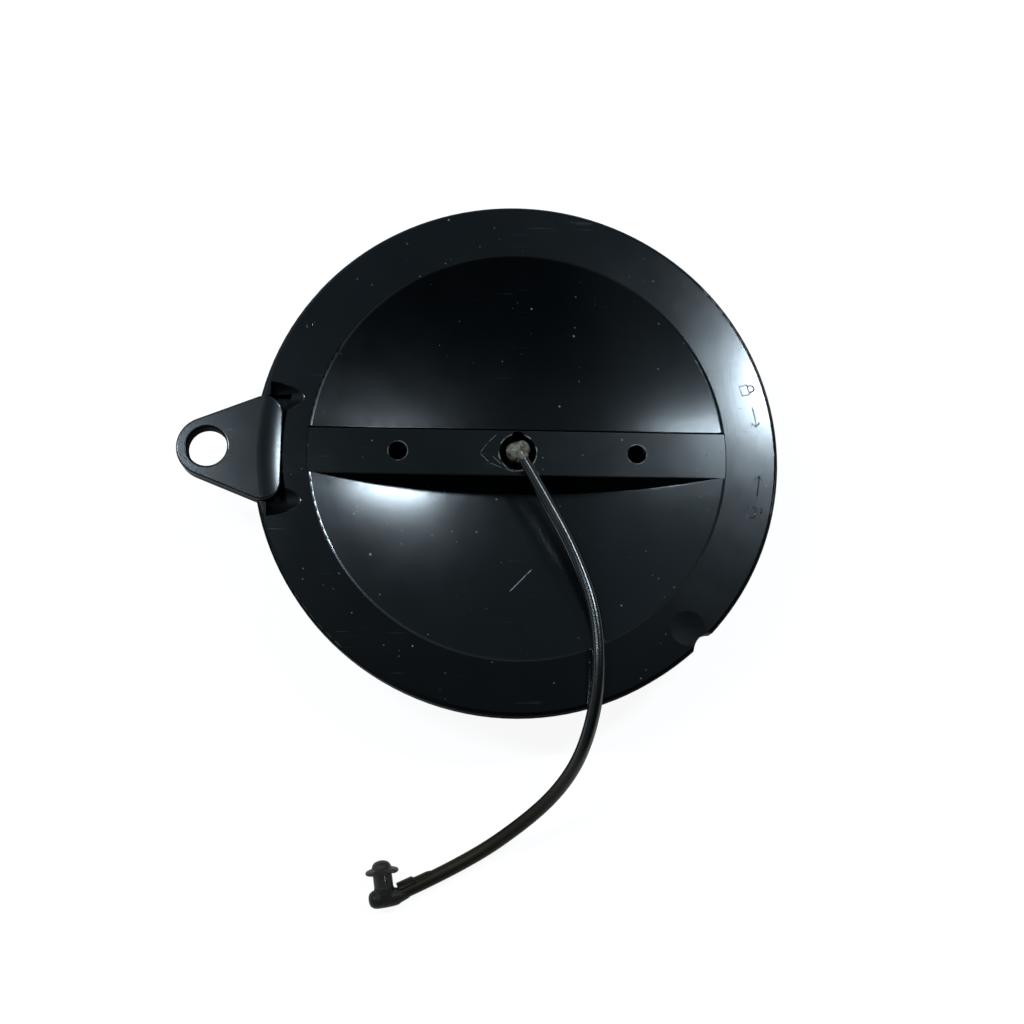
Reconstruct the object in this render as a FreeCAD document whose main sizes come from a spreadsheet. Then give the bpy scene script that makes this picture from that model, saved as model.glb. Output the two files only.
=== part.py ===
"""Twist-lock end cap of a hose storage tube, with its padlock lug and its tether.

Millimetres, +Z up. The origin is on the cap's axis, on the plane that the skirt's lower edge stands on.
The grip bar runs along X, and the padlock lug is at -X.
"""
import FreeCAD, Part
import math
import os
import Sketcher

ZERO = "zero"

# Each size that can be set by itself: its name, its value and what it measures.
DRIVING = (
    ("flange_radius", "85", "outer radius of the rim"),
    ("flange_height", "34", "flange face above the plane that the cap stands on"),
    ("flange_thickness", "3", "thickness of the flange"),
    ("rim_round", "1.4", "rounding of the rim's upper edge"),
    ("lip_wall", "2.8", "thickness of the lip that hangs from the rim"),
    ("lip_depth", "9", "height of the rim, flange face to the lip's lower edge"),
    ("rim_overhang", "11", "skirt's outside in from the rim"),
    ("skirt_wall", "3", "thickness of the skirt"),
    ("root_step", "2.5", "shoulder at the skirt's root that stops the tube"),
    ("root_height", "3.6", "height of that shoulder under the flange"),
    ("seat_width", "3", "width of the seat for the bowl's rim, inside the skirt"),
    ("seat_step", "1.2", "bowl's rim below the flange face"),
    ("weld_clearance", "0.2", "bowl's rim to the skirt's inside"),
    ("bowl_gap", "0.05", "bowl's edge inside the flange's opening"),
    ("bowl_edge", "3", "rounding of the bowl's edge, level with the flange"),
    ("bowl_wall", "2.5", "thickness of the bowl"),
    ("bowl_rim", "2.5", "thickness of the bowl's rim"),
    ("bowl_depth", "12.7", "depth of the bowl below the bar's face"),
    ("bar_drop", "0.5", "bar's face below the flange face"),
    ("bar_width", "15.5", "width of the grip bar"),
    ("bar_round", "0.3", "rounding of the grip bar's edges"),
    ("bar_slope", "16", "slope of the grip bar's sides from upright, in degrees"),
    ("bar_plate", "3", "thickness of the grip bar's face"),
    ("bar_wall", "2", "thickness of the grip bar's sides"),
    ("bar_end_wall", "6", "solid length at each end of the hollow in the bar"),
    ("bar_hole_radius", "3.1", "radius of the two plain holes in the bar"),
    ("bar_hole_spacing", "77.5", "distance between the two plain holes"),
    ("boss_length", "18", "length of the solid boss at the bar's middle"),
    ("socket_radius", "6", "radius of the tether's socket"),
    ("socket_depth", "5.2", "depth of the tether's socket"),
    ("web", "3.6", "thickness of the socket's floor"),
    ("key_width", "4.5", "width of the notch in the socket's edge"),
    ("key_reach", "7", "reach of the notch from the socket's middle"),
    ("key_depth", "3", "depth of the notch"),
    ("lug_overhang", "14.5", "padlock hole outside the rim"),
    ("lug_hole_radius", "6.35", "radius of the padlock hole"),
    ("lug_tip_radius", "9.8", "radius of the lug's outer end"),
    ("lug_flare", "22", "angle of the lug's sides, in degrees"),
    ("lug_corner", "6", "radius of the lug's inner corners"),
    ("lug_rise", "1", "lug's face above the flange face"),
    ("lug_gap", "0.3", "lug's inner end to the pocket's wall"),
    ("lug_edge", "0.7", "rounding of the lug's upper edges"),
    ("bullnose", "0.8", "radius of the lug's rounded inner end"),
    ("nose_radius", "25", "radius of the gentle curve that leads to it"),
    ("nose_slope", "17", "slope where that curve ends, in degrees"),
    ("end_slope", "65", "slope where the rounded inner end meets its wall, in degrees"),
    ("pocket_depth", "5", "depth of the pocket that the lug sits in"),
    ("pocket_margin", "0.9", "pocket's ends outside the gate"),
    ("pocket_reach", "9.5", "pocket's inner wall in from the rim"),
    ("pocket_end_wall", "2.5", "thickness of the pocket's ends"),
    ("pocket_corner", "0.5", "rounding of the pocket's corners"),
    ("scoop_radius", "6", "radius of the sloping scoops beside the lug"),
    ("scoop_slope", "18", "slope of those scoops, in degrees"),
    ("scoop_length", "10.5", "length of those scoops"),
    ("scoop_spacing", "34", "distance between those scoops"),
    ("scoop_margin", "1", "scoops' shallow ends from the opening"),
    ("gate_clearance", "0.3", "lug's sides to the gate in the rim"),
    ("peg_radius", "2.5", "radius of the lug's pegs"),
    ("peg_clearance", "0.15", "pegs in their holes"),
    ("peg_inset", "3.2", "pegs from the lug's inner end"),
    ("peg_spacing", "18", "distance between the pegs"),
    ("notch_angle", "-46", "direction of the rim's notch, in degrees"),
    ("notch_radius", "6", "radius of the rim's notch"),
    ("notch_depth", "2", "depth of the rim's notch"),
    ("dimple_angle", "-46.4", "direction of the flange's dimple, in degrees"),
    ("dimple_inset", "6.7", "dimple in from the rim"),
    ("dimple_radius", "90", "radius of the ball that forms the dimple"),
    ("dimple_depth", "0.17", "depth of the dimple"),
    ("slot_count", "2", "number of bayonet slots"),
    ("slot_entry", "9", "width of a slot's mouth"),
    ("slot_height", "12.5", "height of a slot"),
    ("slot_leg", "7.5", "height of a slot's side leg"),
    ("slot_reach", "22", "reach of a slot's side leg"),
    ("ball_radius", "4.1", "radius of the tether's ball end"),
    ("ball_rise", "2.3", "ball's centre above the bar's face"),
    ("collar_radius", "3.5", "radius of the collar under the ball"),
    ("collar_clearance", "0.3", "collar above the socket's floor"),
    ("cord_radius", "2.1", "radius of the tether's cord"),
    ("cord_face_margin", "0.15", "flat on the ball outside the cord's edge"),
    ("pin_radius", "2", "radius of the stud's pin in its elbow"),
    ("pin_length", "3.6", "length of the stud's pin"),
    ("pin_clearance", "0.05", "pin in its hole"),
    ("shank_radius", "3.1", "radius of the slit shank"),
    ("shank_length", "5", "length of the slit shank"),
    ("running_clearance", "0.15", "shank in the bar's pivot hole"),
    ("brim_radius", "5.4", "radius of the snap head's brim"),
    ("brim_droop", "0.8", "brim's edge below its root"),
    ("brim_thickness", "1.3", "thickness of the brim's edge"),
    ("dome_radius", "3.4", "radius of the snap head's dome at its foot"),
    ("dome_foot", "1", "dome's foot above the shank's end"),
    ("dome_height", "2.6", "height of the dome"),
    ("flat_margin", "0.2", "flats on the brim outside the dome's foot"),
    ("split", "1.2", "width of the slit that lets the shank close"),
    ("split_root", "0.8", "solid length below the slit"),
    ("barrel_radius", "3", "radius of the far elbow's barrel"),
    ("barrel_heel", "5.1", "barrel's closed end from the stud's axis"),
    ("barrel_toe", "4.9", "barrel's cord end from the stud's axis"),
    ("barrel_round", "2.2", "rounding of the barrel's closed end"),
    ("barrel_kink", "15", "cord's angle to the barrel, in degrees"),
    ("neck_radius", "3.1", "radius of the neck that the far stud stands on"),
    ("neck_height", "3.1", "height of that neck from the barrel's axis"),
    ("stud_lift", "9", "tilt of the far stud above the table, in degrees"),
    ("sleeve_clearance", "0.05", "sleeve on the cord"),
    ("sleeve_gap", "0.3", "sleeve to the far elbow"),
    ("sleeve_thick", "1.3", "thickness of the sleeve's first step"),
    ("sleeve_thin", "0.6", "thickness of the sleeve's second step"),
    ("sleeve_first", "5.4", "length of the sleeve's first step"),
    ("sleeve_second", "6.8", "length of the sleeve's second step"),
    ("sleeve_wrap", "170", "how far the sleeve goes round the cord, in degrees"),
    ("overrun", "2", "how far a cut runs past the face that it opens"),
)

# What follows from those sizes, one formula each.
DERIVED = (
    ("skirt_radius", "=flange_radius - rim_overhang", "outer radius of the skirt that plugs into the tube"),
    ("skirt_inner", "=skirt_radius - skirt_wall", "inner radius of the skirt"),
    ("opening_radius", "=skirt_inner - seat_width", "radius of the flange's opening over the bowl"),
    ("root_radius", "=skirt_radius + root_step", "radius of the shoulder at the skirt's root"),
    ("flange_under", "=flange_height - flange_thickness", "underside of the flange"),
    ("rim_crest", "=flange_radius - rim_round", "radius where the rim's rounding starts"),
    ("rim_shoulder", "=flange_height - rim_round", "height where the rim's rounding ends"),
    ("lip_inner", "=flange_radius - lip_wall", "inner radius of the lip"),
    ("lip_bottom", "=flange_height - lip_depth", "lower edge of the lip"),
    ("root_under", "=flange_under - root_height", "underside of that shoulder"),
    ("seat_height", "=flange_height - seat_step", "face of the bowl's rim, under the flange"),
    ("bar_top", "=flange_height - bar_drop", "face of the bar"),
    ("bowl_radius", "=opening_radius - bowl_gap", "radius of the bowl's edge"),
    ("bowl_rim_radius", "=skirt_inner - weld_clearance", "outer radius of the bowl's rim"),
    ("bowl_rim_under", "=seat_height - bowl_rim", "underside of the bowl's rim"),
    ("bowl_floor", "=bar_top - bowl_depth", "lowest point of the bowl's inside"),
    ("bowl_base", "=bowl_floor - bowl_wall", "lowest point of the bowl's outside"),
    ("bowl_drop", "=flange_height - bowl_floor", "depth of the bowl below the flange"),
    ("sphere_in", "=(bowl_radius^2 + bowl_drop^2 - 2 * bowl_edge * bowl_drop) / (2 * bowl_drop)",
     "radius of the bowl's inside"),
    ("sphere_out", "=sphere_in + bowl_wall", "radius of the bowl's outside"),
    ("sphere_height", "=bowl_floor + sphere_in", "centre of the bowl's sphere"),
    ("brink_share", "=bowl_edge / (sphere_in + bowl_edge)",
     "share of the way to that centre where the edge rounds"),
    ("brink_radius", "=bowl_radius * (1 - brink_share)", "radius where the bowl's edge starts to round"),
    ("brink_height", "=flange_height - bowl_edge + brink_share * (sphere_height - flange_height + bowl_edge)",
     "height where the bowl's edge starts to round"),
    ("bowl_foot", "=sqrt(sphere_out^2 - (sphere_height - bowl_rim_under)^2)", "bowl's outside at its rim"),
    ("trim_radius", "=bowl_rim_radius + overrun", "reach of the cut under the bowl"),
    ("bar_half", "=bar_width / 2", "half the bar's width"),
    ("bar_shoulder", "=bar_top - bar_round * (1 - sin(bar_slope))", "foot of the bar's rounded edges"),
    ("bar_flat", "=bar_half - bar_round * cos(bar_slope)", "half the bar's flat face"),
    ("bar_foot_half", "=bar_half + (bar_shoulder - bowl_base) * tan(bar_slope)", "half the bar's foot"),
    ("bar_length", "=2 * sqrt((bowl_radius - bowl_gap)^2 - bar_half^2)",
     "length of the bar, into the bowl's rim"),
    ("channel_reach", "=opening_radius - bar_end_wall", "end of the hollow in the bar"),
    ("channel_length", "=2 * channel_reach", "length of the hollow in the bar"),
    ("channel_foot", "=bowl_base - overrun", "lower end of the cut that hollows the bar"),
    ("plate_under", "=bar_top - bar_plate", "underside of the bar's face"),
    ("bar_run_cut", "=bar_drop + overrun", "height of the cut that clears the bar's ends"),
    ("boss_half", "=boss_length / 2", "half the boss's length"),
    ("boss_under", "=bar_top - socket_depth - web", "underside of the boss"),
    ("side_run", "=channel_reach - boss_half", "length of the hollow beside the boss"),
    ("channel_half", "=bar_half - bar_wall / cos(bar_slope)", "half the hollow at the bar's shoulder"),
    ("plate_half", "=channel_half + (bar_shoulder - plate_under) * tan(bar_slope)",
     "half the hollow at its top"),
    ("boss_gap_half", "=channel_half + (bar_shoulder - boss_under) * tan(bar_slope)",
     "half the hollow at the boss"),
    ("foot_gap_half", "=channel_half + (bar_shoulder - channel_foot) * tan(bar_slope)",
     "half the hollow at its foot"),
    ("bar_hole_reach", "=bar_hole_spacing / 2", "plain hole from the cap's axis"),
    ("bar_hole_cut", "=bar_plate + overrun", "depth of the cut for a plain hole"),
    ("pivot_radius", "=shank_radius + running_clearance", "radius of the pivot hole"),
    ("pivot_cut", "=socket_depth + web + overrun", "depth of the cut for the pivot hole"),
    ("key_half", "=key_width / 2", "half the notch's width"),
    ("key_shoulder", "=key_reach - key_half", "centre of the notch's round end"),
    ("cut_plane", "=flange_height + overrun", "height that cuts from above start at"),
    ("pocket_floor", "=flange_height - pocket_depth", "floor of the lug's pocket"),
    ("pocket_cut", "=cut_plane - pocket_floor", "depth of the pocket's cut"),
    ("scoop_x", "=opening_radius + scoop_margin + scoop_radius * sin(scoop_slope)",
     "shallow end of a scoop's axis"),
    ("scoop_y", "=scoop_spacing / 2", "scoops from the lug's middle"),
    ("scoop_z", "=flange_height + scoop_radius * cos(scoop_slope)", "height of a scoop's axis there"),
    ("scoop_turn", "=90 + scoop_slope", "turn of a scoop's axis from upright, in degrees"),
    ("pocket_inner", "=flange_radius - pocket_reach", "radius of the pocket's inner wall"),
    ("lug_reach", "=flange_radius + lug_overhang", "padlock hole from the cap's axis"),
    ("lug_top", "=flange_height + lug_rise", "face of the lug"),
    ("lug_thickness", "=lug_top - pocket_floor", "thickness of the lug"),
    ("lug_root", "=pocket_inner + lug_gap", "inner end of the lug"),
    ("lug_tip_x", "=lug_reach + lug_tip_radius * sin(lug_flare)", "end of the lug's straight sides"),
    ("lug_tip_y", "=lug_tip_radius * cos(lug_flare)", "half width there"),
    ("lug_corner_x", "=lug_root + lug_corner", "centre of an inner corner, along the lug"),
    ("lug_corner_y",
     "=lug_tip_y + ((lug_tip_x - lug_corner_x) * sin(lug_flare) - lug_corner) / cos(lug_flare)",
     "centre of an inner corner, across the lug"),
    ("lug_side_x", "=lug_corner_x + lug_corner * sin(lug_flare)", "start of the lug's straight sides"),
    ("lug_side_y", "=lug_corner_y + lug_corner * cos(lug_flare)", "half width there"),
    ("lug_bend", "=lug_root + bullnose * (sin(end_slope) - sin(nose_slope))",
     "start of the lug's rounded inner end"),
    ("lug_bend_top", "=lug_top - nose_radius * (1 - cos(nose_slope))", "height there"),
    ("lug_shoulder", "=lug_bend_top - bullnose * (cos(nose_slope) - cos(end_slope))",
     "foot of the lug's rounded inner end"),
    ("lug_crest", "=lug_bend + nose_radius * sin(nose_slope)", "start of the gentle curve"),
    ("lug_hole_cut", "=lug_thickness + 2 * overrun", "depth of the padlock hole's cut"),
    ("lug_past_end", "=lug_root - overrun", "end of the cut that rounds the lug"),
    ("lug_past_top", "=lug_top + overrun", "height of the cut that rounds the lug"),
    ("gate_half", "=lug_corner_y + lug_corner + gate_clearance", "half the width of the gate in the rim"),
    ("pocket_half", "=gate_half + pocket_margin", "half the pocket's width"),
    ("pocket_floor_wall", "=pocket_floor - root_under", "thickness of the pocket's floor"),
    ("pocket_in_x", "=sqrt(pocket_inner^2 - pocket_half^2)", "pocket's inner corners"),
    ("pocket_out_x", "=sqrt(lip_inner^2 - pocket_half^2)", "pocket's outer corners"),
    ("block_half", "=pocket_half + pocket_end_wall", "half the width of the pocket's box"),
    ("block_in", "=skirt_radius - skirt_wall / 2", "inner radius of the pocket's box"),
    ("block_out", "=flange_radius - lip_wall / 2", "outer radius of the pocket's box"),
    ("block_in_x", "=sqrt(block_in^2 - block_half^2)", "inner corners of the pocket's box"),
    ("block_out_x", "=sqrt(block_out^2 - block_half^2)", "outer corners of the pocket's box"),
    ("gate_x", "=sqrt(lip_inner^2 - gate_half^2)", "inner corners of the gate"),
    ("gate_end", "=flange_radius + overrun", "outer end of the gate's cut"),
    ("peg_x", "=lug_root + peg_inset", "pegs from the cap's axis"),
    ("peg_y", "=peg_spacing / 2", "pegs from the lug's middle"),
    ("peg_hole_radius", "=peg_radius + peg_clearance", "radius of the pegs' holes"),
    ("peg_hole_cut", "=pocket_floor_wall + overrun", "depth of the cut for a peg"),
    ("notch_x", "=(flange_radius + notch_radius - notch_depth) * cos(notch_angle)",
     "centre of the rim's notch"),
    ("notch_y", "=(flange_radius + notch_radius - notch_depth) * sin(notch_angle)",
     "centre of the rim's notch"),
    ("notch_cut", "=cut_plane - lip_bottom + overrun", "depth of the notch's cut"),
    ("dimple_reach", "=flange_radius - dimple_inset", "dimple from the cap's axis"),
    ("dimple_x", "=dimple_reach * cos(dimple_angle)", "centre of the dimple"),
    ("dimple_y", "=dimple_reach * sin(dimple_angle)", "centre of the dimple"),
    ("dimple_z", "=flange_height + dimple_radius - dimple_depth", "centre of the dimple's ball"),
    ("slot_half", "=slot_entry / 2", "half the width of a slot's mouth"),
    ("slot_sill", "=slot_height - slot_leg", "lower edge of a slot's side leg"),
    ("slot_cut", "=skirt_radius + overrun", "depth of a slot's cut"),
    ("ball_height", "=bar_top + ball_rise", "centre of the tether's ball"),
    ("cord_face", "=sqrt(ball_radius^2 - (cord_radius + cord_face_margin)^2)",
     "flat for the cord on the ball"),
    ("collar_foot", "=ball_rise + socket_depth - collar_clearance", "collar's foot below the ball's centre"),
    ("collar_meet", "=sqrt(ball_radius^2 - collar_radius^2)", "collar meets the ball, below its centre"),
    ("pin_hole_radius", "=pin_radius + pin_clearance", "radius of a pin's hole"),
    ("pin_hole_depth", "=pin_length + pin_clearance", "depth of a pin's hole"),
    ("collar_hole_top", "=collar_foot - pin_hole_depth", "end of the pin's hole in the collar"),
    ("ball_past", "=ball_radius + overrun", "reach of the cut for the flat"),
    ("ball_span", "=2 * (ball_radius + collar_foot)", "height of the cut for the flat"),
    ("brim_low", "=shank_length - brim_droop", "lower edge of the brim"),
    ("brim_edge", "=brim_low + brim_thickness", "upper edge of the brim"),
    ("dome_base", "=shank_length + dome_foot", "foot of the dome"),
    ("head_top", "=dome_base + dome_height", "top of the snap head"),
    ("dome_arc", "=(dome_radius^2 + dome_height^2) / (2 * dome_height)", "radius of the dome's curve"),
    ("split_half", "=split / 2", "half the slit's width"),
    ("flat_reach", "=dome_radius + flat_margin", "flats on the brim from the stud's axis"),
    ("flat_past", "=brim_radius + overrun", "reach of the cuts for the flats"),
    ("split_span", "=2 * flat_past", "reach of the slit's cut"),
    ("barrel_crest", "=barrel_heel - barrel_round", "start of the closed end's rounding"),
    ("barrel_shoulder", "=barrel_radius - barrel_round", "end of that rounding"),
    ("barrel_long", "=barrel_toe + overrun", "barrel before its cord end is trimmed"),
    ("toe_low_x", "=barrel_toe + 2 * barrel_radius * sin(barrel_kink)", "corner of the trim at the cord end"),
    ("toe_low_z", "=-2 * barrel_radius * cos(barrel_kink)", "corner of the trim at the cord end"),
    ("toe_high_x", "=barrel_toe - 2 * barrel_radius * sin(barrel_kink)",
     "corner of the trim at the cord end"),
    ("toe_high_z", "=2 * barrel_radius * cos(barrel_kink)", "corner of the trim at the cord end"),
    ("toe_far_low_x", "=toe_low_x + barrel_long * cos(barrel_kink)", "corner of the trim at the cord end"),
    ("toe_far_low_z", "=toe_low_z + barrel_long * sin(barrel_kink)", "corner of the trim at the cord end"),
    ("toe_far_high_x", "=toe_high_x + barrel_long * cos(barrel_kink)", "corner of the trim at the cord end"),
    ("toe_far_high_z", "=toe_high_z + barrel_long * sin(barrel_kink)", "corner of the trim at the cord end"),
    ("barrel_span", "=2 * (barrel_radius + overrun)", "width of the trim at the cord end"),
    ("sleeve_bore", "=cord_radius + sleeve_clearance", "inner radius of the sleeve"),
    ("sleeve_high", "=cord_radius + sleeve_thick", "outer radius of the sleeve's first step"),
    ("sleeve_low", "=cord_radius + sleeve_thin", "outer radius of the sleeve's second step"),
    ("sleeve_step", "=sleeve_gap + sleeve_first", "end of the sleeve's first step"),
    ("sleeve_end", "=sleeve_step + sleeve_second", "end of the sleeve"),
)

# The cord's route from the ball: over the cap, with heights above the bar's face, then down, above the table.
CORD_EXIT_ANGLE = -60.0
CORD_FIRST_RUN = 15.0
CORD_OVER_CAP = ((18.3, -33.5, 2.9), (24.8, -53.0, 4.2), (25.4, -74.0, 4.7))
CORD_TO_TABLE = (
    (21.9, -92.0, 34.0),
    (16.2, -104.3, 24.4),
    (5.6, -115.6, 13.4),
    (-15.0, -130.1, 1.9),
    (-36.0, -139.4, 3.9),
)
ARC_SHARE = 0.45

doc = FreeCAD.newDocument("hose_tube_cap")
sheet = doc.addObject("Spreadsheet::Sheet", "sizes")


def fill_sheet():
    """Writes the sizes to the sheet, one row each: what it is and its named value."""
    for row, (name, text, note) in enumerate(DRIVING + DERIVED, start=1):
        sheet.set(f"A{row}", note)
        sheet.set(f"B{row}", text)
        sheet.setAlias(f"B{row}", name)
    doc.recompute()


def size(term):
    """The number that a size's name stands for; a leading minus turns it round."""
    if term.startswith("-"):
        return -size(term[1:])
    return float(getattr(sheet, term))


def bound(term):
    """The expression that ties a property to that size."""
    return f"-sizes.{term[1:]}" if term.startswith("-") else f"sizes.{term}"


def new_body(label):
    body = doc.addObject("PartDesign::Body", label)
    body.Label = label
    return body


def origin_feature(body, role):
    return next(feature for feature in body.Origin.OriginFeatures if feature.Role == role)


def sketch_on(body, name, role, height=None):
    """A sketch on one of the body's own planes, or at a height above it."""
    sketch = body.newObject("Sketcher::SketchObject", name)
    sketch.AttachmentSupport = [(origin_feature(body, role), "")]
    sketch.MapMode = "FlatFace"
    if height:
        sketch.setExpression("AttachmentOffset.Base.z", bound(height))
    return sketch


def pin_point(sketch, geometry, end, x, y):
    """Ties a point of the sketch to two sizes."""
    for kind, axis, term in (("DistanceX", -2, x), ("DistanceY", -1, y)):
        if term == ZERO:
            sketch.addConstraint(Sketcher.Constraint("PointOnObject", geometry, end, axis))
            continue
        index = sketch.addConstraint(Sketcher.Constraint(kind, -1, 1, geometry, end, size(term)))
        sketch.setExpression(f"Constraints[{index}]", bound(term))


def point_at(x, y):
    values = [0.0 if term == ZERO else size(term) for term in (x, y)]
    return FreeCAD.Vector(values[0], values[1], 0)


def arc_between(start, end, radius, turn):
    """The shorter arc of that radius; turn is 1 where it runs anticlockwise, -1 where it runs back."""
    chord = end - start
    side = FreeCAD.Vector(-chord.y, chord.x, 0).normalize()
    rise = math.sqrt(max(0.0, radius ** 2 - (chord.Length / 2) ** 2))
    centre = (start + end) * 0.5 + side * (rise * turn)
    first, last = (start, end) if turn > 0 else (end, start)
    angles = [math.atan2(point.y - centre.y, point.x - centre.x) for point in (first, last)]
    if angles[1] <= angles[0]:
        angles[1] += 2 * math.pi
    return Part.ArcOfCircle(Part.Circle(centre, FreeCAD.Vector(0, 0, 1), radius), angles[0], angles[1])


def outline(sketch, corners, arcs=None):
    """A closed loop through corners; arcs gives the radius and the turn of the edges that are round."""
    arcs = arcs or {}
    points = [point_at(x, y) for x, y in corners]
    edges = []
    for number, start in enumerate(points):
        end = points[(number + 1) % len(points)]
        if number in arcs:
            radius, turn = arcs[number]
            index = sketch.addGeometry(arc_between(start, end, size(radius), turn))
            edges.append((index, 1, 2) if turn > 0 else (index, 2, 1))
        else:
            edges.append((sketch.addGeometry(Part.LineSegment(start, end)), 1, 2))
    for number, (index, start, end) in enumerate(edges):
        after, after_start, _ = edges[(number + 1) % len(edges)]
        sketch.addConstraint(Sketcher.Constraint("Coincident", index, end, after, after_start))
    for number, (index, start, end) in enumerate(edges):
        pin_point(sketch, index, start, *corners[number])
        if number in arcs:
            radius = sketch.addConstraint(Sketcher.Constraint("Radius", index, size(arcs[number][0])))
            sketch.setExpression(f"Constraints[{radius}]", bound(arcs[number][0]))


def rectangle(sketch, left, low, right, high):
    outline(sketch, ((left, low), (right, low), (right, high), (left, high)))


def circle(sketch, x, y, radius):
    index = sketch.addGeometry(Part.Circle(point_at(x, y), FreeCAD.Vector(0, 0, 1), size(radius)))
    pin_point(sketch, index, 3, x, y)
    constraint = sketch.addConstraint(Sketcher.Constraint("Radius", index, size(radius)))
    sketch.setExpression(f"Constraints[{constraint}]", bound(radius))


def finish_feature(body, feature, before, cut):
    """Stops where a feature failed, or changed nothing."""
    body.Tip = feature
    doc.recompute()
    change = feature.Shape.Volume - before
    if feature.Shape.isNull() or not feature.Shape.isValid() or (change >= 0) == cut:
        raise RuntimeError(f"{body.Label}: {feature.Name} changed the volume by {change:.3f}")
    return feature


def volume_of(body):
    return body.Shape.Volume if body.Tip and not body.Shape.isNull() else 0.0


def turn(body, name, sketch, cut=False, axis="V_Axis"):
    before = volume_of(body)
    feature = body.newObject("PartDesign::Groove" if cut else "PartDesign::Revolution", name)
    feature.Profile = sketch
    feature.ReferenceAxis = (sketch, [axis])
    feature.Angle = 360
    return finish_feature(body, feature, before, cut)


def extrude(body, name, sketch, length, cut=False, reverse=False, both=False):
    before = volume_of(body)
    feature = body.newObject("PartDesign::Pocket" if cut else "PartDesign::Pad", name)
    feature.Profile = sketch
    feature.SideType = "Symmetric" if both else "One side"
    feature.Reversed = reverse
    feature.setExpression("Length", bound(length))
    return finish_feature(body, feature, before, cut)


def round_edges(body, name, radius, chosen):
    """Rounds the edges that pass the test chosen."""
    before = volume_of(body)
    base = body.Tip
    names = [f"Edge{i}" for i, edge in enumerate(base.Shape.Edges, start=1) if chosen(edge)]
    feature = body.newObject("PartDesign::Fillet", name)
    feature.Base = (base, names)
    feature.setExpression("Radius", bound(radius))
    body.Tip = feature
    doc.recompute()
    if not names or feature.Shape.isNull() or abs(feature.Shape.Volume - before) < 1e-6:
        raise RuntimeError(f"{body.Label}: {name} rounded nothing")
    return feature


def stands_at(edge, x, y):
    """Whether an edge is upright and stands at that place."""
    ends = [vertex.Point for vertex in edge.Vertexes]
    if len(ends) != 2 or abs(ends[0].z - ends[1].z) < 0.1:
        return False
    return all(math.hypot(point.x - x, point.y - y) < 0.01 for point in ends)


def tops_a_wall(shape, edge):
    """Whether an edge is the upper edge of just one upright face of the shape."""
    middle = edge.valueAt((edge.FirstParameter + edge.LastParameter) / 2)
    faces = shape.ancestorsOfType(edge, Part.Face)
    slants = [abs(face.normalAt(*face.Surface.parameter(middle)).z) for face in faces]
    walls = [face for face, slant in zip(faces, slants) if slant < 0.01]
    return len(walls) == 1 and walls[0].CenterOfMass.z < middle.z


def take_out(body, name, kind, place, sizes, turn=None):
    """Takes a plain shape of some kind out of the body; turn tips its axis over towards -X."""
    before = volume_of(body)
    feature = body.newObject(f"PartDesign::Subtractive{kind}", name)
    for prop, term in sizes.items():
        feature.setExpression(prop, bound(term))
    if turn:
        feature.Placement.Rotation = FreeCAD.Rotation(FreeCAD.Vector(0, -1, 0), size(turn))
        feature.setExpression("Placement.Rotation.Angle", bound(turn))
    for axis, term in zip("xyz", place):
        feature.setExpression(f"Placement.Base.{axis}", bound(term))
    return finish_feature(body, feature, before, cut=True)


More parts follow.
